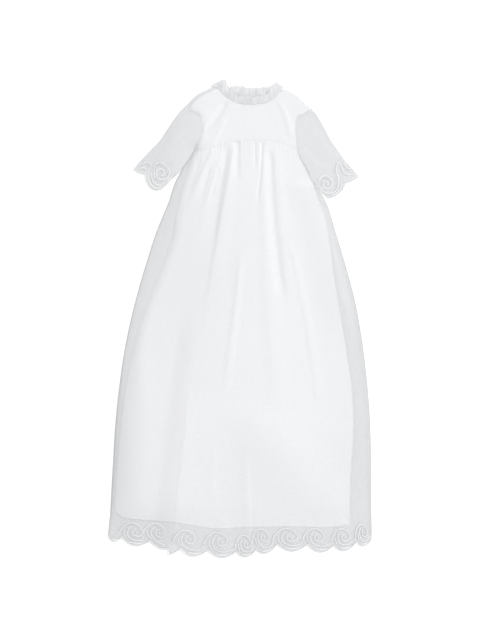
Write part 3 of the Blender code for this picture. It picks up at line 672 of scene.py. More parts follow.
SLEEVE_ROLL = 50.0
UNDERARM_ROLL = 10.0
SHOULDER_ROLL = 11.0
ALLOWANCE = 9.0
ALLOWANCE_LEVEL = 0.7
FRONT = Drape(rolls=(
    Roll(side_line(SKIRT_WIDTHS[1:], "left"), at_yoke=28.0, at_skirt=58.0),
    Roll(LEFT_OUTER, SLEEVE_ROLL, SLEEVE_ROLL),
    Roll(LEFT_INNER, UNDERARM_ROLL, UNDERARM_ROLL),
    Roll(SHOULDER_LEFT, SHOULDER_ROLL, SHOULDER_ROLL),
))
LINING_LEVEL = 1.5
LINING_SHARE = 0.84
LINING_CLEARANCE = 0.8
SKIRT_LINING = Drape(
    rolls=(Roll(side_line(LINING_WIDTHS, "left"), at_yoke=15.0, at_skirt=60.0),),
    edge_level=LINING_LEVEL,
    share=LINING_SHARE,
    limp=True,
    change_top=-30.0,
    change_bottom=-230.0,
)
INNER_RIGHT = ((80, 444), (85, 444.6), (95.8, 441), (108.8, 433.6), (127, 416.3), (134.5, 408.5))
YOKE_LINING_RIGHT = (
    (134.5, 408.5), (125, 401), (114, 397), (108.4, 387), (107.8, 372),
    (109.2, 352), (111, 331),
)
INNER_SHOULDER = ((-84, 428), (-68, 438.5), (-52.7, 445), (-45, 449.5))
YOKE_LINING_LEFT = (
    (-100, 411), (-93, 404), (-84, 400), (-78.5, 393), (-76.5, 380), (-77, 366),
    (-81, 350), (-88, 330),
)
YOKE_LINING = Drape(
    rolls=(Roll(YOKE_LINING_LEFT, ALLOWANCE, ALLOWANCE),),
    edge_level=ALLOWANCE_LEVEL,
    share=LINING_SHARE,
    limp=True,
)


def puckers(points: Array, seam: Array, reach: float, depth: float, pitch: float) -> Array:
    """Small uneven gathers that hang from a seam.

    Args:
        points: Plan points below the seam.
        seam: The seam's height up the gown at each point.
        reach: How far down from the seam the puckers fade.
        depth: Their height at the seam.
        pitch: The distance from one to the next.

    Returns:
        What they add to the height.
    """
    x = points[..., 0] + 2.3 * np.sin(points[..., 0] / 11.0)
    fade = np.exp(-np.maximum(seam - points[..., 1], 0) / reach)
    waves = np.sin(2 * math.pi * x / pitch) * (1 + 0.45 * np.sin(points[..., 0] / 7.3 + 1.1))
    return depth * fade * waves


# Finishes

class Recipe:
    """A material's nodes, added one at a time and joined to its shader."""

    def __init__(self, name: str, **sockets: float | tuple) -> None:
        """Start a material.

        Args:
            name: The material's name.
            sockets: Values for its shader's sockets.
        """
        self.material = bpy.data.materials.new(name)
        self.material.use_nodes = True
        self.tree = self.material.node_tree
        self.shader = self.tree.nodes["Principled BSDF"]
        self.give(**sockets)

    def feed(self, socket: Socket, value: object) -> None:
        """Feed an input.

        Args:
            socket: The input.
            value: A value, or another node's output to link to it.
        """
        if isinstance(value, Socket):
            self.tree.links.new(value, socket)
        else:
            socket.default_value = value

    def give(self, **sockets: object) -> None:
        """Feed the shader's sockets, with underscores for the spaces in their names."""
        for name, value in sockets.items():
            self.feed(self.shader.inputs[name.replace("_", " ")], value)

    def node(self, kind: str, inputs: dict | None = None, **settings: object) -> bpy.types.Node:
        """Add a node.

        Args:
            kind: The node's type, without the ShaderNode before it.
            inputs: What feeds its inputs, by their names or numbers.
            settings: Its own settings, such as operation.

        Returns:
            The node.
        """
        node = self.tree.nodes.new("ShaderNode" + kind)
        for name, value in settings.items():
            setattr(node, name, value)
        for name, value in (inputs or {}).items():
            self.feed(node.inputs[name], value)
        return node

    def maths(self, operation: str, *values: object) -> Socket:
        """A Math node's output, from an operation and its inputs."""
        return self.node("Math", dict(enumerate(values)), operation=operation).outputs[0]

    def total(self, *terms: tuple[Socket, float]) -> Socket:
        """Add up outputs, each times its share.

        Args:
            terms: Each output with its share.

        Returns:
            Their sum.
        """
        result = 0.0
        for output, share in terms:
            result = self.maths("MULTIPLY_ADD", output, share, result)
        return result

    def waves(self, place: Socket, length: float) -> Socket:
        """A sine wave of a length in metres."""
        return self.maths("SINE", self.maths("MULTIPLY", place, 2 * math.pi / length))

    def uv(self) -> tuple[Socket, Socket, Socket]:
        """Read the cloth's own measure, in metres.

        Returns:
            It as a vector, across the cloth, and along it.
        """
        place = self.node("UVMap", uv_map="cloth").outputs[0]
        split = self.node("SeparateXYZ", {0: place})
        return place, split.outputs[0], split.outputs[1]

    def noise(self, place: Socket, scale: tuple[float, float], detail: float) -> Socket:
        """Add noise that may be drawn out along the threads.

        Args:
            place: The vector that it reads.
            scale: Its scale across and along the cloth.
            detail: How many octaves it has.

        Returns:
            Its value, about 0.5 on average.
        """
        mapping = self.node("Mapping", {"Vector": place, "Scale": (*scale, 1)})
        inputs = {"Vector": mapping.outputs[0], "Scale": 1.0, "Detail": detail}
        return self.node("TexNoise", inputs).outputs["Fac"]

    def between(self, share: Socket, low: float, high: float) -> Socket:
        """A number between low and high, by a share from 0 to 1."""
        return self.node("MapRange", {"Value": share, "To Min": low, "To Max": high}).outputs[0]

    def tint(self, share: Socket, dark: tuple, light: tuple) -> None:
        """Colour the shader between dark and light, by a share from 0 to 1."""
        inputs = {"Factor": share, "A": (*dark, 1), "B": (*light, 1)}
        self.give(Base_Color=self.node("Mix", inputs, data_type="RGBA").outputs["Result"])

    def bump(self, height: Socket, depth: float) -> None:
        """Raise the surface by height times depth, in metres."""
        inputs = {"Height": height, "Distance": depth, "Strength": 1.0}
        self.give(Normal=self.node("Bump", inputs).outputs[0])


@dataclass(frozen=True)
class WovenFinish:
    """A plain weave: its thread pitch in metres, its colours and how much shows through."""

    name: str
    pitch: float
    dark: tuple[float, float, float]
    light: tuple[float, float, float]
    roughness: float
    sheen: float
    relief: float
    slot: str = "sheer_overlay"
    alpha: tuple[float, float] | None = None
    hem: float | None = None
    # Scale and share of the blotches: the cloth's own uneven tone, and on the gathered frill painted
    # shade of its gathers
    mottle_and_gather_shade: float = 9.0
    mottle_and_gather_shade_share: float = 0.2

    def material(self) -> bpy.types.Material:
        """Build the weave over the cloth's own UV map.

        Returns:
            The material.
        """
        recipe = Recipe(self.name, Roughness=self.roughness, Sheen_Weight=self.sheen,
                        Sheen_Roughness=0.5, Specular_IOR_Level=0.25)
        place, across, lengthways = recipe.uv()
        crossing = recipe.maths("MULTIPLY", recipe.waves(across, self.pitch),
                                recipe.waves(lengthways, self.pitch))
        weave = recipe.maths("MULTIPLY_ADD", crossing, 0.5, 0.5)
        slubs = recipe.total((recipe.noise(place, (1500, 40), 2), 0.5),
                             (recipe.noise(place, (40, 1500), 2), 0.5))
        # Blotches: the cloth's own uneven tone, and on the gathered frill large painted shade of its
        # gathers
        mottle_and_gather_shade = recipe.noise(place, (self.mottle_and_gather_shade, self.mottle_and_gather_shade * 0.66), 3)
        threads = 1 - self.mottle_and_gather_shade_share
        # The colour mixes the slubs' own tone, painted shade in the weave's low crossings and the
        # blotches
        shade = recipe.total((slubs, 0.7 * threads), (weave, 0.3 * threads),
                             (mottle_and_gather_shade, self.mottle_and_gather_shade_share))
        if self.hem:
            doubled = recipe.maths("LESS_THAN", lengthways, -self.hem)
            shade = recipe.total((shade, 0.5), (doubled, 0.5))
        recipe.tint(shade, self.dark, self.light)
        if self.alpha:
            slant = recipe.node("LayerWeight", name="slant").outputs["Facing"]
            dense = recipe.maths("MULTIPLY", recipe.maths("POWER", slant, 1.5), 0.6)
            cover = recipe.maths("ADD", recipe.between(slubs, *self.alpha), dense)
            recipe.give(Alpha=recipe.maths("MINIMUM", cover, 1.0))
        recipe.bump(recipe.total((weave, 1.0), (slubs, 1.6)), self.relief)
        return recipe.material


@dataclass(frozen=True)
class ThreadFinish:
    """Satin-stitched or twisted white thread, with the length of one twist in metres."""

    name: str
    twist: float
    dark: tuple[float, float, float]
    light: tuple[float, float, float]
    roughness: float = 0.5
    slot: str = "sheer_overlay"

    def material(self) -> bpy.types.Material:
        """Build stitches that wind round the cord, over its own UV map.

        Returns:
            The material.
        """
        recipe = Recipe(self.name, Roughness=self.roughness, Sheen_Weight=0.25,
                        Sheen_Roughness=0.4, Specular_IOR_Level=0.4)
        place, lengthways, around = recipe.uv()
        slant = recipe.maths("MULTIPLY_ADD", around, 0.35, lengthways)
        strands = recipe.maths("MULTIPLY_ADD", recipe.waves(slant, self.twist), 0.5, 0.5)
        fuzz = recipe.noise(place, (1500, 500), 2)
        # The colour is painted shade in the grooves between the twisted strands, with the fuzz as the
        # thread's own uneven tone
        recipe.tint(recipe.total((strands, 0.6), (fuzz, 0.4)), self.dark, self.light)
        recipe.bump(recipe.maths("ADD", strands, fuzz), 0.00012)
        return recipe.material


@dataclass(frozen=True)
class MetalFinish:
    """Nickel plate with fine rubbed marks."""

    name: str
    slot: str

    def material(self) -> bpy.types.Material:
        """Build the plate over the object's own coordinates.

        Returns:
            The material.
        """
        recipe = Recipe(self.name, Metallic=1.0)
        place = recipe.node("TexCoord").outputs["Object"]
        rubbed = recipe.noise(place, (2600, 2600), 4)
        recipe.tint(rubbed, (0.58, 0.59, 0.61), (0.8, 0.81, 0.83))
        recipe.give(Roughness=recipe.between(rubbed, 0.22, 0.42))
        recipe.bump(rubbed, 0.00002)
        return recipe.material


@dataclass(frozen=True)
class FloorFinish:
    """A plain pale floor with the faintest mottling."""

    name: str
    white: float = 0.8
    glow: float = 0.2

    def material(self) -> bpy.types.Material:
        """Build the floor over the object's own coordinates.

        Returns:
            The material.
        """
        recipe = Recipe(self.name, Roughness=0.9, Specular_IOR_Level=0.1,
                        Emission_Color=(1, 1, 1, 1), Emission_Strength=self.glow)
        place = recipe.node("TexCoord").outputs["Object"]
        low, high = self.white - 0.01, self.white
        recipe.tint(recipe.noise(place, (3, 3), 2), (low,) * 3, (high,) * 3)
        return recipe.material


class Finish(Enum):
    """The finishes of the gown."""

    SHEER = WovenFinish(
        "sheer_overlay", pitch=0.0006, dark=(0.65, 0.655, 0.665), light=(0.71, 0.715, 0.725),
        roughness=0.62, sheen=0.15, relief=0.00003, alpha=(0.38, 0.5),
    )
    # The gathered frill covers more; its dark, large blotches are painted shade of its gathers
    GATHERED = WovenFinish(
        "gathered_overlay", pitch=0.0006, dark=(0.44, 0.445, 0.455), light=(0.76, 0.765, 0.775),
        roughness=0.62, sheen=0.15, relief=0.00003, alpha=(0.82, 0.92), mottle_and_gather_shade=90.0, mottle_and_gather_shade_share=0.7,
    )
    LINING = WovenFinish(
        "cotton_lining", pitch=0.0007, dark=(0.885, 0.885, 0.89), light=(0.98, 0.98, 0.98),
        roughness=0.85, sheen=0.1, relief=0.00005, hem=0.7555, slot="cotton_lining",
    )
    CORD = ThreadFinish("corded_embroidery", 0.0009, (0.58, 0.585, 0.595), (0.68, 0.685, 0.69))
    SATIN = ThreadFinish("satin_stitching", 0.0007, (0.58, 0.585, 0.595), (0.66, 0.665, 0.675))
    STITCH = ThreadFinish("sewing_thread", 0.0003, (0.80, 0.805, 0.81), (0.88, 0.88, 0.885), 0.6)
    METAL = MetalFinish("press_stud_metal", slot="press_stud_metal")


@cache
def material_of(finish: Finish) -> bpy.types.Material:
    """A finish's material, made when it is first asked for."""
    return finish.value.material()


def dress(piece: Piece, finish: Finish) -> Piece:
    """Give a piece its finish and let it ride on the gown.

    Args:
        piece: The piece, with its mesh in its place.
        finish: What it is made of.

    Returns:
        The same piece.
    """
    piece.data.materials.clear()
    piece.data.materials.append(material_of(finish))
    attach(piece, "root")
    log.info("%s: %d faces", piece.name, len(piece.data.polygons))
    return piece


# Making meshes

def new_object(name: str, points: Array, faces: list, uvs: Array) -> Piece:
    """Make a smooth-shaded mesh object.

    Args:
        name: The piece's name.
        points: Its points, in millimetres.
        faces: Its faces, as rows of point numbers.
        uvs: One place on the cloth for each corner of each face, in metres.

    Returns:
        The object, linked to the scene.
    """
    mesh = bpy.data.meshes.new(name)
    mesh.from_pydata((np.asarray(points) * MM).tolist(), [], faces)
    layer = mesh.uv_layers.new(name="cloth")
    layer.data.foreach_set("uv", np.asarray(uvs, float).ravel())
    mesh.shade_smooth()
    mesh.set_sharp_from_angle(angle=math.radians(55))
    piece = bpy.data.objects.new(name, mesh)
    bpy.context.scene.collection.objects.link(piece)
    return piece


def sheet_of_cloth(name: str, node: str, points: Array, cut: Cut, finish: Finish,
                   tube: bool = False, face_down: bool = False) -> Piece:
    """Make one thin sheet from a grid of points, in the place of a solid.

    Args:
        name: The piece's name.
        node: The node that it replaces.
        points: Rows of points in space, in millimetres.
        cut: How wide and how long the cloth was cut, in metres.
        finish: What it is made of.
        tube: Whether each row closes on itself.
        face_down: Whether the cloth's right side is its lower one.

    Returns:
        The sheet.
    """
    rows, columns = points.shape[:2]
    across = columns if tube else columns - 1
    row, place = np.meshgrid(np.arange(rows - 1), np.arange(across), indexing="ij")
    row, place = row.ravel(), place.ravel()
    after = (place + 1) % columns
    faces = np.stack([row * columns + place, (row + 1) * columns + place,
                      (row + 1) * columns + after, row * columns + after], -1)
    u = np.stack([place, place, place + 1, place + 1], -1) / across * cut[0]
    v = np.stack([row, row + 1, row + 1, row], -1) / (rows - 1) * -cut[1]
    uvs = np.stack([u, v], -1)
    if face_down:
        faces, uvs = faces[:, ::-1], uvs[:, ::-1]
    sheet = new_object(name, points.reshape(-1, 3), faces.tolist(), uvs)
    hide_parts(node)
    return dress(sheet, finish)


@dataclass
class Needlework:
    """Threads laid on cloth, gathered into one mesh."""

    name: str
    finish: Finish
    sides: int = 6
    points: list[Array] = field(default_factory=list)
    faces: list[tuple] = field(default_factory=list)
    uvs: list[tuple] = field(default_factory=list)
    count: int = 0

    def lay(self, line: Array, radius: float, flat: float = 0.8, swell: float = 0.0) -> None:
        """Lay one thread, a little thinner at its ends.

        Args:
            line: Its middle line in space, in millimetres.
            radius: Half its width.
            flat: Its height as a share of its width.
            swell: From 0 for an even cord to 1 for a leaf, widest in the middle.
        """
        run = unit(np.gradient(line, axis=0))
        side = unit(np.cross(run, (0, 0, 1)))
        up = np.cross(side, run)
        size = radius * (1 - swell + swell * np.sin(math.pi * np.linspace(0.06, 0.94, len(line))))
        size[[0, -1]] *= 0.45
        turns = np.arange(self.sides) * 2 * math.pi / self.sides
        ring = (np.cos(turns)[None, :, None] * side[:, None]
                + np.sin(turns)[None, :, None] * flat * up[:, None])
        self.points.append((line[:, None] + ring * size[:, None, None]).reshape(-1, 3))
        length = distances(line) * MM
        girth = 2 * math.pi * radius / self.sides * MM
        first = self.count
        for low, high in zip(length, length[1:]):
            for place in range(self.sides):
                a, b = first + place, first + (place + 1) % self.sides
                self.faces.append((a, a + self.sides, b + self.sides, b))
                near, far = place * girth, (place + 1) * girth
                self.uvs += [(low, near), (high, near), (high, far), (low, far)]
            first += self.sides
        self.faces.append(tuple(range(self.count, self.count + self.sides)))
        self.faces.append(tuple(range(first, first + self.sides))[::-1])
        self.uvs += [(0.0, 0.0)] * self.sides + [(length[-1], 0.0)] * self.sides
        self.count = first + self.sides

    def stitch(self, line: Array, pitch: float, radius: float = 0.15, gap: float = 0.28) -> None:
        """Sew a row of stitches.

        Args:
            line: The line of the row in space, in millimetres, in small steps.
            pitch: The length of one stitch with its gap.
            radius: Half the thread's width.
            gap: The share of the pitch that shows no thread.
        """
        lengths = distances(line)
        for start in np.arange(0, lengths[-1] - pitch, pitch):
            marks = start + pitch * (1 - gap) * np.array([0, 0.5, 1])
            points = np.stack([np.interp(marks, lengths, axis) for axis in line.T], -1)
            points[1, 2] += 0.12
            self.lay(points, radius)

    def finished(self) -> Piece:
        """Make the piece and dress it."""
        piece = new_object(self.name, np.concatenate(self.points), self.faces, np.array(self.uvs))
        return dress(piece, self.finish)


# Sub-assemblies

@dataclass
class Skirt:
    """The gathered overlay and its plain lining, front and back."""

    columns: int = 260
    rows: int = 220
    back_columns: int = 150
    back_rows: int = 110
    overlay_cut: Cut = (0.56, 0.83)
    lining_cut: Cut = (0.5, 0.76)
    seam_lap: float = 0.05
    side_level: float = 0.35
    side_turns: tuple[float, ...] = (0.35, 0.75, 1.0)
    side_bulge: float = 0.5
    back_level: float = 0.3
    back_inset: float = 0.2
    back_hem_lift: float = 1.2
    back_lining_level: float = 0.8
    lining_floor: float = 1.2
    lining_folds: float = 0.4
    lining_flat_below: float = -410.0
    lining_flat_reach: float = 45.0
    lining_hem_share: float = 0.15
    border_radius: float = 0.8
    leaf_radius: float = 2.1
    leaf_flat: float = 0.14
    scroll_radius: float = 1.15
    scroll_flat: float = 0.07
    scroll_step: float = 1.1
    scroll_room: float = 2.0
    overrun: float = 30.0
    turning: float = 0.9
    turning_flat: float = 0.16

    def top_edge(self, shares: Array) -> Array:
        """Find where the overlay's top edge meets the yoke's seam.

        Args:
            shares: Shares of the way across, from 0 to 1.

        Returns:
            Its height up the gown there.
        """
        top = np.full(len(shares), YOKE_SEAM[0][1])
        for _ in range(4):
            left, right = sides(SKIRT_WIDTHS, top)
            top = seam_height(left + shares * (right - left)) + self.seam_lap
        return top

    def overlay_plan(self, columns: int, drops: Array, inset: float = 0.0,
                     lift: float = 0.0) -> Array:
        """Plan points of one panel of the overlay, from its gathers to its hem.

        Args:
            columns: Steps across it.
            drops: How far down each row lies, from 0 to 1.
            inset: How far its sides keep inside the outline.
            lift: How far its hem keeps above the outline.

        Returns:
            The grid of plan points.
        """
        shares = steps(columns)
        top = self.top_edge(shares)
        hem = HEM_SCALLOPS[0].x + shares * (HEM_SCALLOPS[-1].x - HEM_SCALLOPS[0].x)
        y = top + (hem_line(hem) + lift - top) * drops[:, None]
        left, right = sides(SKIRT_WIDTHS, y)
        return np.stack([left + inset + shares * (right - left - 2 * inset), y], -1)

    def front_height(self, plan: Array) -> Array:
        """Find how high the overlay's front lies, with its gathers and its puckers at the yoke.

        Args:
            plan: Plan points.

        Returns:
            The height at each point.
        """
        seam = seam_height(plan[..., 0])
        height = FRONT.height(plan, SKIRT_FOLDS)
        height = height + puckers(plan, seam, reach=9, depth=0.16, pitch=5.2)
        height = height + puckers(plan, seam, reach=20, depth=0.1, pitch=9.5)
        return height - 0.02 * ease((plan[..., 1] - seam + 1.5) / 2.0)

    def build_front(self) -> Piece:
        """Build the overlay's front with its sides rolled under.

        Returns:
            The front.
        """
        drops = steps(self.rows)
        plan = self.overlay_plan(self.columns, 0.45 * drops**2 + 0.55 * drops)
        points = with_height(plan, self.front_height(plan))
        for edge, way in ((0, -1), (-1, 1)):
            roll = []
            for turn in self.side_turns:
                ring = points[:, edge].copy()
                ring[:, 2] += (self.side_level - ring[:, 2]) * turn
                ring[:, 0] += way * self.side_bulge * math.sin(math.pi * turn)
                roll.append(ring)
            extra = np.stack(roll[::way], 1)
            points = np.concatenate([points, extra][::way], 1)
        return sheet_of_cloth("skirt_overlay_front", "skirt_front", points, self.overlay_cut,
                              Finish.SHEER)

    def build_back(self) -> Piece:
        """Build the overlay's back, which lies on the floor with its gathers pressed flat.

        Returns:
            The back.
        """
        plan = self.overlay_plan(self.back_columns, steps(self.back_rows), self.back_inset,
                                 self.back_hem_lift)
        rise = fold_rise(plan, BACK_FOLDS)
        seam = seam_height(plan[..., 0])
        rise = rise + puckers(plan, seam, reach=40, depth=0.25, pitch=8.0)
        left, right = sides(SKIRT_WIDTHS, plan[..., 1])
        inside = np.minimum(plan[..., 0] - left, right - plan[..., 0]) - self.back_inset
        points = with_height(plan, self.back_level + np.maximum(rise, 0) * ease(inside / 12))
        return sheet_of_cloth("skirt_overlay_back", "skirt_back", points, self.overlay_cut,
                              Finish.SHEER, face_down=True)

    def lining_plan(self, columns: int, rows: int) -> Array:
        """Plan points of the lining.

        Args:
            columns: Steps across it.
            rows: Steps down it.

        Returns:
            The grid of plan points.
        """
        shares = steps(columns)
        start, end = LINING_HEM[0][0], LINING_HEM[-1][0]
        bottom = read(LINING_HEM, start + shares * (end - start))
        start, end = LINING_WIDTHS[0].left, LINING_WIDTHS[0].right
        top = seam_height(start + shares * (end - start)) + 0.6
        y = top + (bottom - top) * steps(rows)[:, None]
        left, right = sides(LINING_WIDTHS, y)
        return np.stack([left + shares * (right - left), y], -1)

    def lining_height(self, plan: Array) -> Array:
        """Find how high the lining's front lies, which holds the overlay up and stays under it.

        Args:
            plan: Plan points.

        Returns:
            The height at each point.
        """
        own = SKIRT_LINING.height(plan) + self.lining_folds * fold_rise(plan, SKIRT_FOLDS)
        from_hem = ease((plan[..., 1] - self.lining_flat_below) / self.lining_flat_reach)
        kept = self.lining_hem_share + (1 - self.lining_hem_share) * from_hem
        own = LINING_LEVEL + (own - LINING_LEVEL) * kept
        over = FRONT.height(plan, SKIRT_FOLDS)
        return np.maximum(np.minimum(own, over - LINING_CLEARANCE), self.lining_floor)

    def build_linings(self) -> list[Piece]:
        """Build the lining's front and back.

        Returns:
            The front and the back.
        """
        front, back = self.lining_plan(130, 170), self.lining_plan(80, 60)
        return [
            sheet_of_cloth("skirt_lining_cloth_front", "skirt_lining_front",
                           with_height(front, self.lining_height(front)), self.lining_cut,
                           Finish.LINING),
            sheet_of_cloth("skirt_lining_cloth_back", "skirt_lining_back",
                           with_height(back, self.back_lining_level), self.lining_cut,
                           Finish.LINING, face_down=True),
        ]

    def place(self, number: int, spots: Line) -> Array:
        """Put points of the scroll's own table on one scallop of the hem.

        Args:
            number: Which scroll of the hem.
            spots: Points across the scallop and up from its chord, in scallop pitches.

        Returns:
            Their plan points.
        """
        scroll = HEM_SCROLLS[number]
        valleys = [row for row in HEM_SCALLOPS if row.x != HEM_FOLD]
        after = next(index for index, row in enumerate(valleys) if row.x > scroll.eye_x)
        start, end = np.array(valleys[after - 1][:2]), np.array(valleys[after][:2])
        if number == FOLDED_SCROLL:
            end = start + (SCROLL_PITCH, -9)
        run = end - start
        square = np.array([-run[1], run[0]]) / np.hypot(*run)
        spots = np.asarray(spots, float)
        points = start + spots[:, :1] * run + spots[:, 1:] * SCROLL_PITCH * square
        eye = start + SCROLL_EYE[0] * run + SCROLL_EYE[1] * SCROLL_PITCH * square
        shift = np.array([scroll.eye_x, scroll.eye_y]) - eye
        return points + ease((spots[:, 1:] + 0.1) / 0.3) * shift

    def scroll_lines(self) -> list[Array]:
        """Draw all the scrolls of the hem, cut off at folds and sides.

        Returns:
            Their plan lines.
        """
        lines = []
        for number, scroll in enumerate(HEM_SCROLLS):
            sweep = list(self.place(number, INNER_SWEEP))
            if number + 1 < len(HEM_SCROLLS) and number != FOLDED_SCROLL:
                sweep.append(self.place(number + 1, ((-0.1, 0.1),))[0])
            last_x = scroll.last_x + (0 if number in CUT_SCROLLS else self.overrun)
            for line in (self.place(number, ARM_AND_CURL), np.array(sweep),
                         self.place(number, SIDE_LEAF)):
                count = int(distances(line)[-1] / self.scroll_step)
                fine = along(line, np.linspace(0, 1, count))
                keep = fine[:, 0] < last_x
                keep &= fine[:, 1] > hem_line(fine[:, 0]) + self.scroll_room
                for run in np.split(np.arange(len(fine)), np.flatnonzero(~keep)):
                    kept = fine[run[keep[run]]]
                    if len(kept) > 3:
                        lines.append(kept)
        return lines

    def leaves(self) -> list[Array]:
        """Draw the leaves, one low in each scallop that hangs well down.

        Returns:
            Their plan lines.
        """
        lines = []
        for row, following in zip(HEM_SCALLOPS, HEM_SCALLOPS[1:]):
            if row.drop > 9.5:
                share = np.linspace(0.24, 0.76, 20)
                x = row.x + (following.x - row.x) * share
                chord = row.y + (following.y - row.y) * share
                lines.append(np.stack([x, chord - 0.72 * (chord - hem_line(x))], -1))
        return lines

    def on_cloth(self, line: Array, on_front: bool, lift: float) -> Array:
        """Put a plan line on the overlay's front, or under its back."""
        return with_height(line, self.front_height(line) + lift if on_front
                           else self.back_level + 0.25)

    def build_embroidery(self, side: str) -> list[Piece]:
        """Embroider one side's hem: satin stitches along its edge, cords, leaves and eyes.

        Args:
            side: front or back.

        Returns:
            The satin stitches and the cords.
        """
        front = side == "front"
        edge = np.linspace(HEM_SCALLOPS[0].x + 0.4, HEM_SCALLOPS[-1].x - 0.4, 620)
        inside = 0.35 if front else self.back_hem_lift + 0.2
        border = np.stack([edge, hem_line(edge) + inside], -1)
        satin = Needlework(f"hem_satin_{side}", Finish.SATIN)
        satin.lay(self.on_cloth(border, front, lift=0.1), self.border_radius, self.scroll_flat)
        cords = Needlework(f"hem_scrolls_{side}", Finish.CORD)
        for leaf in self.leaves():
            cords.lay(self.on_cloth(leaf, front, lift=0.05), self.leaf_radius, self.leaf_flat,
                      swell=0.8)
        for line in self.scroll_lines():
            cords.lay(self.on_cloth(line, front, lift=0.12), self.scroll_radius, self.scroll_flat)
        if front:
            turns = 2 * math.pi * steps(8)
            knot = 1.1 * np.stack([np.cos(turns), np.sin(turns)], -1)
            for scroll in HEM_SCROLLS:
                ring = knot + (scroll.eye_x, scroll.eye_y)
                cords.lay(self.on_cloth(ring, front, lift=0.3), radius=0.9)
        return [satin.finished(), cords.finished()]

    def build_side_seams(self) -> None:
        """Sew the front to the back down both sides, with the turnings inside the overlay."""
        work = Needlework("side_seams", Finish.CORD)
        y = np.linspace(HEM_SCALLOPS[0].y + 1, YOKE_SEAM[0][1] - 4, 240)
        left, right = sides(SKIRT_WIDTHS, y)
        line = np.stack([left + self.turning, y], -1)
        work.lay(with_height(line, self.side_level), self.turning, self.turning_flat)
        line = np.stack([right - self.turning, y], -1)
        height = FRONT.height(line, SKIRT_FOLDS) - 0.3
        work.lay(with_height(line, height), self.turning, self.turning_flat)
        work.finished()

    def build_stitches(self) -> None:
        """Sew the stitches of the lining's hem and of the yoke's seam."""
        work = Needlework("skirt_stitches", Finish.STITCH, sides=5)
        x = np.linspace(LINING_HEM[0][0] + 3, LINING_HEM[-1][0] - 3, 300)
        line = np.stack([x, read(LINING_HEM, x) + 7], -1)
        work.stitch(with_height(line, self.lining_height(line) + 0.2), 3.2)
        x = np.linspace(YOKE_SEAM[0][0] + 2, YOKE_SEAM[-1][0] - 2, 200)
        line = np.stack([x, seam_height(x) + 1.6], -1)
        work.stitch(with_height(line, FRONT.height(line, YOKE_FOLDS) + 0.15), STITCH_PITCH)
        work.finished()

    def build(self) -> None:
        """Build every piece of the skirt."""
        front, back = self.build_front(), self.build_back()
        lining, back_lining = self.build_linings()
        on_front, on_back = self.build_embroidery("front"), self.build_embroidery("back")
        self.build_side_seams()
        self.build_stitches()


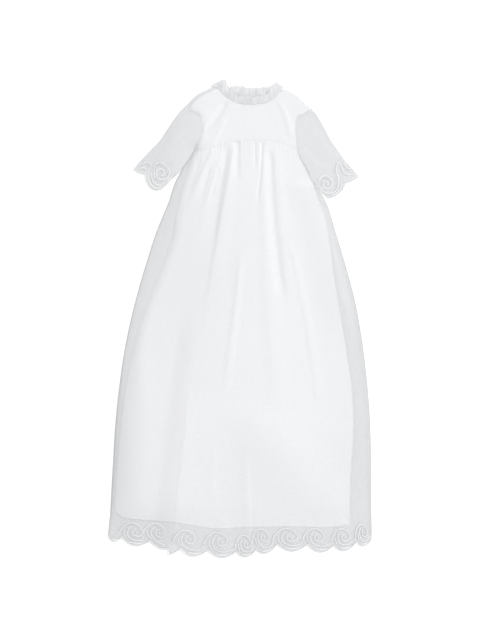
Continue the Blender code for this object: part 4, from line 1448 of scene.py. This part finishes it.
@dataclass
class Yoke:
    """The yoke's front with its lining, and its two back halves."""

    rows: int = 60
    shoulder_steps: int = 16
    neck_steps: int = 60
    cut: Cut = (0.24, 0.125)
    back_cut: Cut = (0.125, 0.125)
    lining_folds: float = 0.6
    back_level: float = 0.35
    lap_width: float = 14.0
    lap_level: float = 2.9
    lap_slope: float = 10.0
    seam_lap: float = 0.05

    def seam(self, start: float, end: float, count: int) -> Array:
        """Points of the lower seam between two places across it."""
        places = np.linspace(start, end, count)
        return np.stack([places, seam_height(places) - self.seam_lap], -1)

    def boundaries(self, neck: Line) -> tuple[Array, Array, Array, Array]:
        """The yoke's four boundary lines.

        Args:
            neck: The line of its neck edge.

        Returns:
            Its top, its lower seam, and its left and right armholes.
        """
        shoulder = steps(self.shoulder_steps)
        top = np.concatenate([
            along(SHOULDER_LEFT, shoulder),
            along(neck, steps(self.neck_steps))[1:-1],
            along(SHOULDER_RIGHT, shoulder),
        ])
        bottom = self.seam(YOKE_SEAM[0][0], YOKE_SEAM[-1][0], len(top))
        left, right = along(ARMHOLE_LEFT, steps(self.rows)), along(ARMHOLE_RIGHT, steps(self.rows))
        left[-1], right[-1] = bottom[0], bottom[-1]
        return top, bottom, left, right

    def build_front(self) -> list[Piece]:
        """Build the front and the lining that shows through it.

        Returns:
            The front and its lining.
        """
        top, bottom, left, right = self.boundaries(FRONT_NECK)
        plan = patch(top, bottom, left, right)
        front = sheet_of_cloth("yoke_overlay_front", "yoke_front",
                               with_height(plan, FRONT.height(plan, YOKE_FOLDS)), self.cut,
                               Finish.SHEER)
        left = along(YOKE_LINING_LEFT, steps(self.rows))
        right = along(YOKE_LINING_RIGHT, steps(self.rows))
        shoulder = steps(self.shoulder_steps)
        bottom[:, 0] += ease(1 - (bottom[:, 0] - bottom[0, 0]) / 60) * (left[-1, 0] - bottom[0, 0])
        top[: self.shoulder_steps + 1] = along((left[0], *INNER_SHOULDER), shoulder)
        top[-self.shoulder_steps - 1:] = along(INNER_RIGHT, shoulder)
        left[-1], right[-1] = bottom[0], bottom[-1]
        plan = patch(top, bottom, left, right)
        own = YOKE_LINING.height(plan) + self.lining_folds * fold_rise(plan, YOKE_FOLDS)
        over = FRONT.height(plan, YOKE_FOLDS)
        height = np.maximum(np.minimum(own, over - LINING_CLEARANCE), ALLOWANCE_LEVEL)
        lining = sheet_of_cloth("yoke_lining_cloth_front", "yoke_lining_front",
                                with_height(plan, height), self.cut, Finish.LINING)
        return [front, lining]

    def build_backs(self) -> list[Piece]:
        """Build the two halves of the back, which lap in the middle.

        Returns:
            The left half and the right half.
        """
        top, bottom, left, right = self.boundaries(BACK_NECK)
        lap_start, lap_end = CENTRE_BACK - self.lap_width / 2, CENTRE_BACK + self.lap_width / 2
        halves = []
        for side, lap in (("left", lap_end), ("right", lap_start)):
            corner = [(lap, read(BACK_NECK, lap))]
            if side == "left":
                neck = np.concatenate([top[top[:, 0] < lap - 1], corner])
                seam = self.seam(bottom[0][0], lap, len(neck))
                edges = left, np.linspace(neck[-1], seam[-1], self.rows + 1)
            else:
                neck = np.concatenate([corner, top[top[:, 0] > lap + 1]])
                seam = self.seam(lap, bottom[-1][0], len(neck))
                edges = np.linspace(neck[0], seam[0], self.rows + 1), right
            plan = patch(neck, seam, *edges)
            height = np.full(plan.shape[:2], self.back_level)
            if side == "right":
                over = (lap_end + self.lap_slope - plan[..., 0]) / (0.7 * self.lap_slope)
                height = height + self.lap_level * ease(over)
            halves.append(sheet_of_cloth(f"yoke_overlay_back_{side}", f"yoke_back_{side}",
                                         with_height(plan, height), self.back_cut, Finish.SHEER,
                                         face_down=True))
        return halves

    def build_stitches(self) -> None:
        """Sew the stitches of the armholes and the back lap."""
        work = Needlework("yoke_stitches", Finish.STITCH, sides=5)
        for line, inset, start in ((ARMHOLE_LEFT, 1.6, 0.42), (ARMHOLE_RIGHT, -1.6, 0.45)):
            fine = along(line, np.linspace(start, 0.9, 100)) + (inset, 0)
            work.stitch(with_height(fine, FRONT.height(fine, YOKE_FOLDS) + 0.08), STITCH_PITCH)
        for inset in (1.5, 9):
            x = CENTRE_BACK - self.lap_width / 2 + inset
            y = np.linspace(seam_height(x) + 2, read(BACK_NECK, x) - 1.5, 60)
            line = np.stack([np.full_like(y, x), y], -1)
            level = self.back_level + self.lap_level + 0.15
            work.stitch(with_height(line, level), STITCH_PITCH)
        work.finished()

    def build(self) -> None:
        """Build every piece of the yoke."""
        front, lining = self.build_front()
        backs = self.build_backs()
        self.build_stitches()


@dataclass
class Sleeve:
    """One short sleeve, a tube folded flat with a scalloped, embroidered cuff."""

    side: str
    armhole: Line
    outer: Line
    inner: Line
    cuff: Sequence[Scallop]
    lines: Sequence[Line]
    rows: int = 70
    columns: int = 60
    cut: Cut = (0.22, 0.15)
    back_level: float = 0.3
    edge_end: float = 0.997
    edge_lift: float = 0.2
    scroll_lift: float = 0.12
    border_radius: float = 0.8
    scroll_radius: float = 1.3
    flat: float = 0.07

    def build_tube(self) -> Piece:
        """Build the sleeve's front and back as one tube, from its armhole to its cuff.

        Returns:
            The sleeve.
        """
        top = along(self.armhole, steps(self.columns))
        outer, inner = along(self.outer, steps(self.rows)), along(self.inner, steps(self.rows))
        outer[0], inner[0] = top[0], top[-1]
        plan = patch(top, cuff_line(self.cuff, steps(self.columns)), outer, inner)
        front = with_height(plan, FRONT.height(plan, SLEEVE_FOLDS))
        back = with_height(plan, self.back_level)[:, ::-1]
        points = np.concatenate([front, back], 1)
        if self.side == "right":
            points = points[:, ::-1]
        return sheet_of_cloth(f"sleeve_overlay_{self.side}", f"sleeve_{self.side}", points,
                              self.cut, Finish.SHEER, tube=True)

    def build_embroidery(self) -> list[Piece]:
        """Embroider the cuff: its edge on both layers and its scrolls on the front.

        Returns:
            The satin stitches and the cords.
        """
        satin = Needlework(f"cuff_satin_{self.side}", Finish.SATIN)
        edge = cuff_line(self.cuff, np.linspace(0.003, self.edge_end, 110))
        satin.lay(with_height(edge, FRONT.height(edge) + self.edge_lift), self.border_radius,
                  self.flat)
        satin.lay(with_height(edge, self.back_level + 0.5), self.border_radius * 0.8, self.flat)
        cords = Needlework(f"cuff_scrolls_{self.side}", Finish.CORD)
        for line in self.lines:
            fine = along(line, np.linspace(0, 1, max(6, int(distances(line)[-1]))))
            height = FRONT.height(fine, SLEEVE_FOLDS) + self.scroll_lift
            cords.lay(with_height(fine, height), self.scroll_radius, self.flat)
        return [satin.finished(), cords.finished()]

    def build(self) -> None:
        """Build the sleeve and its cuff."""
        tube = self.build_tube()
        self.build_embroidery()


@dataclass
class NeckFrill:
    """The gathered strip round the neck, in front of it and behind it."""

    front_cut: Cut = (0.2, 0.0145)
    back_cut: Cut = (0.085, 0.0145)
    wave_steps: int = 24
    rises: int = 12
    edge_radius: float = 0.25
    seam_lap: float = 0.12
    lap: float = 0.5
    floor_level: float = 1.2

    def strip(self, stations: Sequence[Station], waves: int, swing: tuple[float, float],
              on_front: bool) -> Array:
        """Shape one strip.

        Args:
            stations: Where it is sewn on and where its free edge stands.
            waves: How many gathers it has.
            swing: How far they swing at the seam and at the free edge.
            on_front: Whether it is sewn to the front of the yoke.

        Returns:
            Its rows of points, the free edge first.
        """
        shares = steps(waves * self.wave_steps)
        base = along([station.base for station in stations], shares) - (0, self.lap, 0)
        free = along([station.free for station in stations], shares)
        if on_front:
            lowered = FRONT.height(base[:, :2], YOKE_FOLDS) + 0.2 - base[:, 2]
            base[:, 2] += lowered
            free[:, 2] += lowered
        # Waves of uneven length and height, which die away at both ends
        pace = shares * waves + 0.22 * np.sin(shares * 31.0) + 0.12 * np.sin(shares * 67.0)
        turns = pace * 2 * math.pi
        uneven = 1 + 0.25 * np.sin(116.0 * shares + 1)
        ends = ease(shares / 0.05) * ease((1 - shares) / 0.05)
        rows = []
        for share in np.linspace(1, -self.seam_lap, self.rises + 1):
            line = base + (free - base) * share
            out = max(share, 0)
            depth = swing[0] + (swing[1] - swing[0]) * out
            line[:, 2] += depth * ends * uneven * np.sin(turns)
            line[:, 1] += out * ends * np.cos(turns + 0.5)
            line[:, 2] = np.maximum(line[:, 2], self.floor_level)
            if on_front:
                lowest = FRONT.height(line[:, :2], YOKE_FOLDS) + 0.2
                line[:, 2] += ease(1 - share / 0.35) * np.maximum(lowest - line[:, 2], 0)
                if share < 0:
                    line[:, 2] = lowest
            rows.append(line)
        return np.stack(rows)

    def build(self) -> None:
        """Build both strips and their rolled edges."""
        work = Needlework("frill_edge", Finish.CORD, sides=5)
        for side, stations, waves, swing, cut in (
            ("front", FRONT_FRILL, 8, (0.2, 0.3), self.front_cut),
            ("back", BACK_FRILL, 6, (0.1, 0.18), self.back_cut),
        ):
            points = self.strip(stations, waves, swing, side == "front")
            sheet_of_cloth(f"frill_{side}", f"neck_frill_{side}", points, cut,
                                         Finish.GATHERED)
            work.lay(points[0] + (0, 0, 0.1), self.edge_radius)
        work.finished()


@dataclass
class PressStuds:
    """Three small metal press studs between the halves of the back."""

    heights: tuple[float, ...] = (428.0, 398.0, 368.0)
    radius: float = 3.5
    base: float = 1.5
    thickness: float = 0.8
    rim: float = 0.5
    groove: float = 0.3
    groove_depth: float = 0.25
    dish: float = 0.9
    button_rise: float = 0.2
    dome: float = 0.4
    dome_rise: float = 0.05
    rounding: float = 0.08

    def build(self) -> None:
        """Model one stud by hand and copy it for the others."""
        first = self.model_stud("press_stud_plate_1", self.heights[0])
        for number, height in enumerate(self.heights, 1):
            if number == 1:
                stud = first
            else:
                stud = first.copy()
                stud.data = first.data.copy()
                stud.name = f"press_stud_plate_{number}"
                stud.data.name = stud.name
                bpy.context.scene.collection.objects.link(stud)
                for point in stud.data.vertices:
                    point.co.y += (height - self.heights[0]) * MM
            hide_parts(f"press_stud_{number}")
            dress(stud, Finish.METAL)

    def model_stud(self, name: str, height: float) -> Piece:
        """Model a stud: a disc with a raised rim and a domed button in its middle.

        Args:
            name: The piece's name.
            height: How far up the gown it sits.

        Returns:
            The stud in its place.
        """
        bpy.ops.object.select_all(action="DESELECT")
        bpy.ops.mesh.primitive_cylinder_add(
            vertices=32, radius=self.radius * MM, depth=self.thickness * MM,
            location=(CENTRE_BACK * MM, height * MM, (self.base + self.thickness / 2) * MM),
        )
        stud = bpy.context.object
        stud.name = name
        bpy.ops.object.transform_apply(location=True, rotation=True, scale=True)
        bpy.ops.object.mode_set(mode="EDIT")
        self.select_top(stud)
        bpy.ops.mesh.inset(thickness=self.rim * MM)
        bpy.ops.mesh.inset(thickness=self.groove * MM, depth=-self.groove_depth * MM)
        bpy.ops.mesh.inset(thickness=self.dish * MM)
        rise = (0, 0, self.button_rise * MM)
        bpy.ops.mesh.extrude_region_move(TRANSFORM_OT_translate={"value": rise})
        bpy.ops.mesh.inset(thickness=self.dome * MM, depth=self.dome_rise * MM)
        bpy.ops.object.mode_set(mode="OBJECT")
        bevel = stud.modifiers.new("edges", "BEVEL")
        bevel.width = self.rounding * MM
        bevel.segments = 2
        bpy.ops.object.modifier_apply(modifier=bevel.name)
        bpy.ops.object.shade_smooth_by_angle(angle=math.radians(40))
        stud.select_set(False)
        return stud

    @staticmethod
    def select_top(piece: Piece) -> None:
        """Select only the faces that look straight up, in edit mode.

        Args:
            piece: The piece, in edit mode.
        """
        bpy.ops.mesh.select_mode(type="FACE")
        bpy.ops.mesh.select_all(action="DESELECT")
        form = bmesh.from_edit_mesh(piece.data)
        for face in form.faces:
            face.select = face.normal.z > 0.9
        bmesh.update_edit_mesh(piece.data)


@dataclass
class Studio:
    """A pale floor, soft light and a camera straight over the gown, all sized in metres."""

    floor_size: float = 9.0
    camera_height: float = 2.952
    camera_y: float = -0.0022
    lens: float = 85.0
    key_place: tuple[float, float, float] = (9.4, 6.0, 10.2)
    key_size: float = 6.0
    key_power: float = 2150.0
    ambient: float = 0.775

    def build_floor(self) -> None:
        """Lay the floor under the gown."""
        bpy.ops.object.select_all(action="DESELECT")
        bpy.ops.mesh.primitive_plane_add(size=self.floor_size, location=(0, 0, 0))
        floor = bpy.context.object
        floor.name = "floor"
        floor.data.materials.append(FloorFinish("pale_floor").material())

    def build_light(self) -> None:
        """Hang a soft square light to the right of the gown, facing it."""
        data = bpy.data.lights.new("key_light", "AREA")
        data.shape = "SQUARE"
        data.size = self.key_size
        data.energy = self.key_power
        light = bpy.data.objects.new("key_light", data)
        light.location = self.key_place
        light.rotation_euler = (-Vector(self.key_place)).to_track_quat("-Z", "Y").to_euler()
        bpy.context.scene.collection.objects.link(light)

    def build_sky(self) -> None:
        """Light everything evenly from a white sky."""
        world = bpy.data.worlds.new("studio")
        bpy.context.scene.world = world
        world.use_nodes = True
        background = world.node_tree.nodes["Background"]
        background.inputs["Color"].default_value = (1, 1, 1, 1)
        background.inputs["Strength"].default_value = self.ambient

    def build_camera(self) -> None:
        """Hang the camera over the gown, looking straight down."""
        scene = bpy.context.scene
        scene.view_settings.view_transform = "Standard"
        data = bpy.data.cameras.new("camera")
        data.lens = self.lens
        camera = bpy.data.objects.new("camera", data)
        camera.location = (0, self.camera_y, self.camera_height)
        scene.collection.objects.link(camera)
        scene.camera = camera

    def build(self) -> None:
        """Set up the floor, the light, the sky and the camera."""
        self.build_floor()
        self.build_light()
        self.build_sky()
        self.build_camera()


def main() -> None:
    """Dress the whole gown and light it."""
    logging.basicConfig(level=logging.INFO, format="%(name)s: %(message)s")
    Skirt().build()
    Yoke().build()
    Sleeve("left", ARMHOLE_LEFT, LEFT_OUTER, LEFT_INNER, LEFT_CUFF, LEFT_CUFF_LINES).build()
    Sleeve("right", ARMHOLE_RIGHT, RIGHT_OUTER, RIGHT_INNER, RIGHT_CUFF, RIGHT_CUFF_LINES,
           edge_end=0.74).build()
    NeckFrill().build()
    PressStuds().build()
    Studio().build()


if __name__ == "__main__":
    main()
